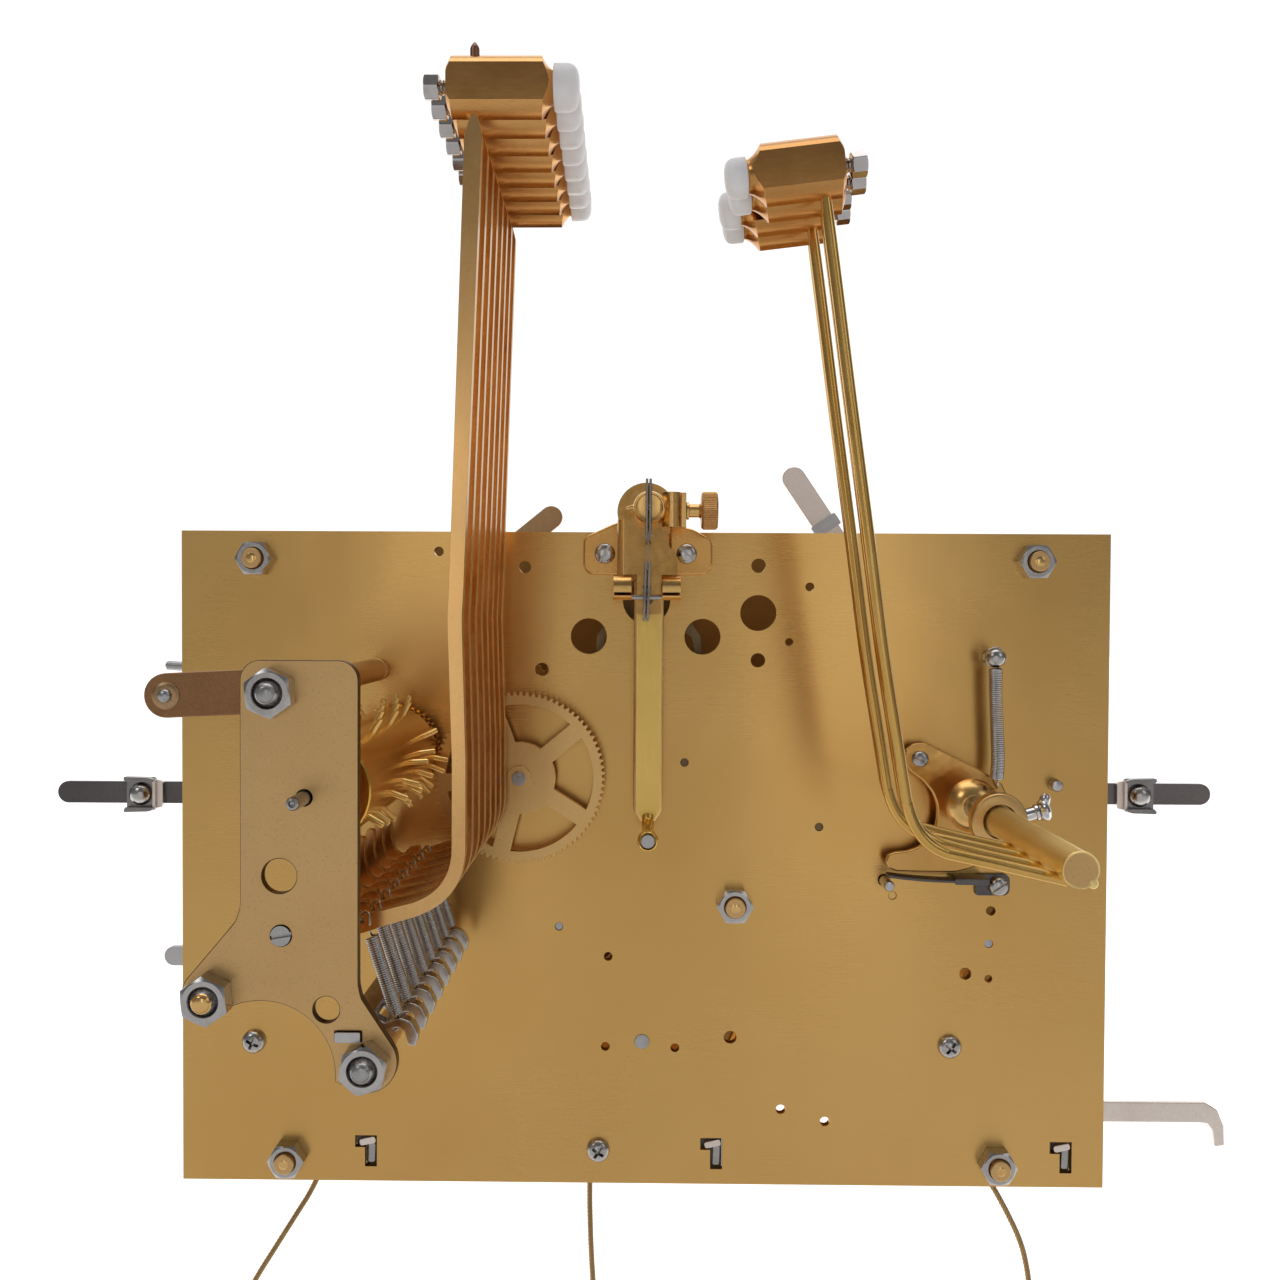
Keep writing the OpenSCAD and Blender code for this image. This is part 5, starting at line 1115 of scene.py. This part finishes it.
def lever_clamp(bm, x, z, s):
    """Folded clamp with flared flanges, an inner lip and a domed pan screw, seen from behind; s points away from the plates."""
    m = face_m(x, z, YF)
    box = [(-4.4, -5.0, 0.8), (4.4, -5.0, 0.8), (4.4, 5.0, 0.8), (-4.4, 5.0, 0.8)]
    prism(bm, m, fillet(box), -2.1, -1.0, 1)
    for q in (-1, 1):
        wing = [(-4.2, q * 3.9), (4.0, q * 3.9), (4.5, q * 4.6), (4.3, q * 5.3), (-2.6, q * 5.1), (-4.2, q * 4.7)]
        prism(bm, m, [(s * u, v) for u, v in wing], -1.2, 1.4, 1)
    lip = fillet([(-6.6, -3.9, 0.6), (-4.2, -4.4, 0.4), (-4.2, 4.4, 0.4), (-6.6, 3.9, 0.6)])
    prism(bm, m, [(s * u, v) for u, v in lip], -2.1, -0.6, 3)
    prism(bm, m, [(s * u, v) for u, v in [(-4.7, -4.4), (-3.9, -4.4), (-3.9, 4.4), (-4.7, 4.4)]], -1.2, 0.4, 3)
    lathe(bm, m, [(3.2, -1.2), (3.45, -0.8), (3.4, -0.2), (3.1, 0.6), (2.5, 1.3), (1.6, 1.85), (0.7, 2.05), (0, 2.1)], 40, 2)


for side, tip, pivot, cl, w, s in (("left", (-174.7, 88.6), (-95, 88.6), (-152, 88.4), 6.6, -1), ("right", (167.4, 90), (95, 90), (148.6, 89.8), 6.4, 1)):
    bm = bmesh.new()
    prism(bm, face_m(0, 0, YF), strap_pts(tip, pivot, w), -3.8, -2.2)
    bevel(bm, 0.3, 2, 60)
    lever_clamp(bm, *cl, s)
    # The right lever's strap takes the lighter copy of the grey sheet: painted light.
    piece(side + "_lever_strap", bm, [SHEET if s < 0 else SHEET_PAINTED_LIGHT, GREY, NICKEL, TIN], side + "_lever", angle=45)
bm = bmesh.new()
prism(bm, face_m(0, 0, YF), strap_pts((-28.3, 172.5), (-54, 151.6), 6.8), -3.8, -2.2)
bevel(bm, 0.35, 2, 60)
piece("top_left_lever_strap", bm, TAN, "top_left_lever", angle=50)
bm = bmesh.new()
prism(bm, face_m(0, 0, YF), strap_pts((44.7, 184.4), (81, 130.6), 7), -3.8, -2.2)
bevel(bm, 0.3, 2, 60)
m = face_m(54.2, 170.3, YF) @ Matrix.Rotation(math.radians(34), 4, "Z")
prism(bm, m, fillet([(-4.2, -1.9, 0.5), (4.2, -1.9, 0.5), (4.2, 1.9, 0.5), (-4.2, 1.9, 0.5)]), -2.3, -0.7, 1)
prism(bm, m, [(-4.2, -0.5), (4.2, -0.5), (4.2, 0.5), (-4.2, 0.5)], -0.8, -0.4, 1)
piece("top_right_lever_strap", bm, [TIN, STEEL], "top_right_lever", angle=50)
cad_copy("bottom_lever", TIN, width=0.3)
bm = bmesh.new()
slab(bm, strap_pts((-88, 128.3), (-66.5, 129.4), 8.3), 85.2, 86.8)
bevel(bm, 0.3, 2, 60)
lathe(bm, face_m(-88, 128.3, YB), [(1.2, 84.6), (2.5, 85.0), (2.55, 87.0), (2.2, 87.3), (1.3, 87.35)], 32, 1)
lathe(bm, face_m(-88, 128.3, YB), [(0.95, 84.4), (1.3, 86.5), (1.3, 87.6), (0.95, 88.1), (0, 88.3)], 28, 2)
piece("drum_shift_strap", bm, [SHIFT, TAN, STEEL], "drum_shift_lever", angle=50)

# ---------------------------------------------------------------- floor and light
me = bpy.data.meshes.new("floor")
bm = bmesh.new()
bmesh.ops.create_grid(bm, x_segments=8, y_segments=8, size=6.0)
bm.to_mesh(me)
bm.free()
floor = bpy.data.objects.new("floor", me)
floor.location = (0, 0, -0.066)
sc.collection.objects.link(floor)
fm, ft, fb = new_mat("pale_floor")
fn = ft.nodes.new("ShaderNodeTexNoise")
fn.inputs["Scale"].default_value = 3
fr = ft.nodes.new("ShaderNodeValToRGB")
fr.color_ramp.elements[0].color = (0.90, 0.90, 0.90, 1)
fr.color_ramp.elements[1].color = (0.94, 0.94, 0.94, 1)
ft.links.new(fn.outputs["Fac"], fr.inputs["Fac"])
ft.links.new(fr.outputs["Color"], fb.inputs["Base Color"])
fb.inputs["Roughness"].default_value = 0.8
fb.inputs["Emission Color"].default_value = (1, 1, 1, 1)
fc = ft.nodes.new("ShaderNodeTexCoord")
fs = ft.nodes.new("ShaderNodeSeparateXYZ")
fg = ft.nodes.new("ShaderNodeMapRange")
fg.interpolation_type = "SMOOTHSTEP"
for key, v in (("From Min", -0.18), ("From Max", 0.06), ("To Min", 0.0), ("To Max", 0.78)):
    fg.inputs[key].default_value = v
ft.links.new(fc.outputs["Object"], fs.inputs["Vector"])
ft.links.new(fs.outputs["Y"], fg.inputs["Value"])
ft.links.new(fg.outputs["Result"], fb.inputs["Emission Strength"])
me.materials.append(fm)

world = bpy.data.worlds.new("studio")
sc.world = world
world.use_nodes = True
wt = world.node_tree
bg = wt.nodes["Background"]
wc = wt.nodes.new("ShaderNodeTexCoord")
ws = wt.nodes.new("ShaderNodeSeparateXYZ")
wt.links.new(wc.outputs["Generated"], ws.inputs["Vector"])


def wrange(src, a, b, lo, hi):
    r = wt.nodes.new("ShaderNodeMapRange")
    r.interpolation_type = "SMOOTHSTEP"
    for key, v in (("From Min", a), ("From Max", b), ("To Min", lo), ("To Max", hi)):
        r.inputs[key].default_value = v
    wt.links.new(src, r.inputs["Value"])
    return r.outputs["Result"]


def wmath(op, a, b):
    r = wt.nodes.new("ShaderNodeMath")
    r.operation = op
    for i, v in enumerate((a, b)):
        if isinstance(v, float):
            r.inputs[i].default_value = v
        else:
            wt.links.new(v, r.inputs[i])
    return r.outputs[0]


aside = wmath("ABSOLUTE", ws.outputs["X"], 0.0)
back = wrange(ws.outputs["Y"], 0.35, 0.70, 0.0, 0.95)
roof = wmath("MULTIPLY", wrange(ws.outputs["Z"], 0.5, 0.95, 0.0, 0.45), wrange(ws.outputs["Y"], -0.5, 0.0, 0.12, 1.0))
glow = wrange(ws.outputs["Z"], 0.19, 0.34, 0.44, 0.0)
glow = wmath("MULTIPLY", glow, wrange(ws.outputs["Y"], -0.8, -0.1, 1.0, 0.12))
glow = wmath("MULTIPLY", glow, wrange(aside, 0.16, 0.33, 1.0, 0.22))
glow = wmath("MULTIPLY", glow, wrange(aside, 0.0, 0.13, 0.85, 1.08))
mid = wrange(ws.outputs["Y"], -1.0, -0.985, 0.5, 1.0)
total = wmath("ADD", wmath("ADD", back, roof), wmath("MULTIPLY", wmath("ADD", glow, 0.14), mid))
wt.links.new(total, bg.inputs["Strength"])
bg.inputs["Color"].default_value = (1, 1, 1, 1)


def area(name, loc, target, w, h, power, col=(1, 1, 1)):
    d = bpy.data.lights.new(name, "AREA")
    d.shape, d.size, d.size_y, d.energy, d.color = "RECTANGLE", w, h, power, col
    ob = bpy.data.objects.new(name, d)
    ob.location = loc
    ob.rotation_euler = (Vector(target) - Vector(loc)).to_track_quat("-Z", "Y").to_euler()
    sc.collection.objects.link(ob)


area("key", (-0.85, -0.95, 1.05), (0, -0.05, 0.12), 0.5, 0.5, 1.6)
area("fill", (0.95, -0.9, 0.75), (0, -0.05, 0.12), 0.6, 0.6, 0.8)
area("top", (0.0, -0.1, 1.25), (0, -0.05, 0.1), 1.1, 0.7, 2.6)
area("band_left", (-0.27, -1.5, 0.12), (-0.05, 0, 0.1), 0.14, 0.6, 0.22)
area("band_right", (0.27, -1.5, 0.12), (0.05, 0, 0.1), 0.16, 0.6, 0.22)
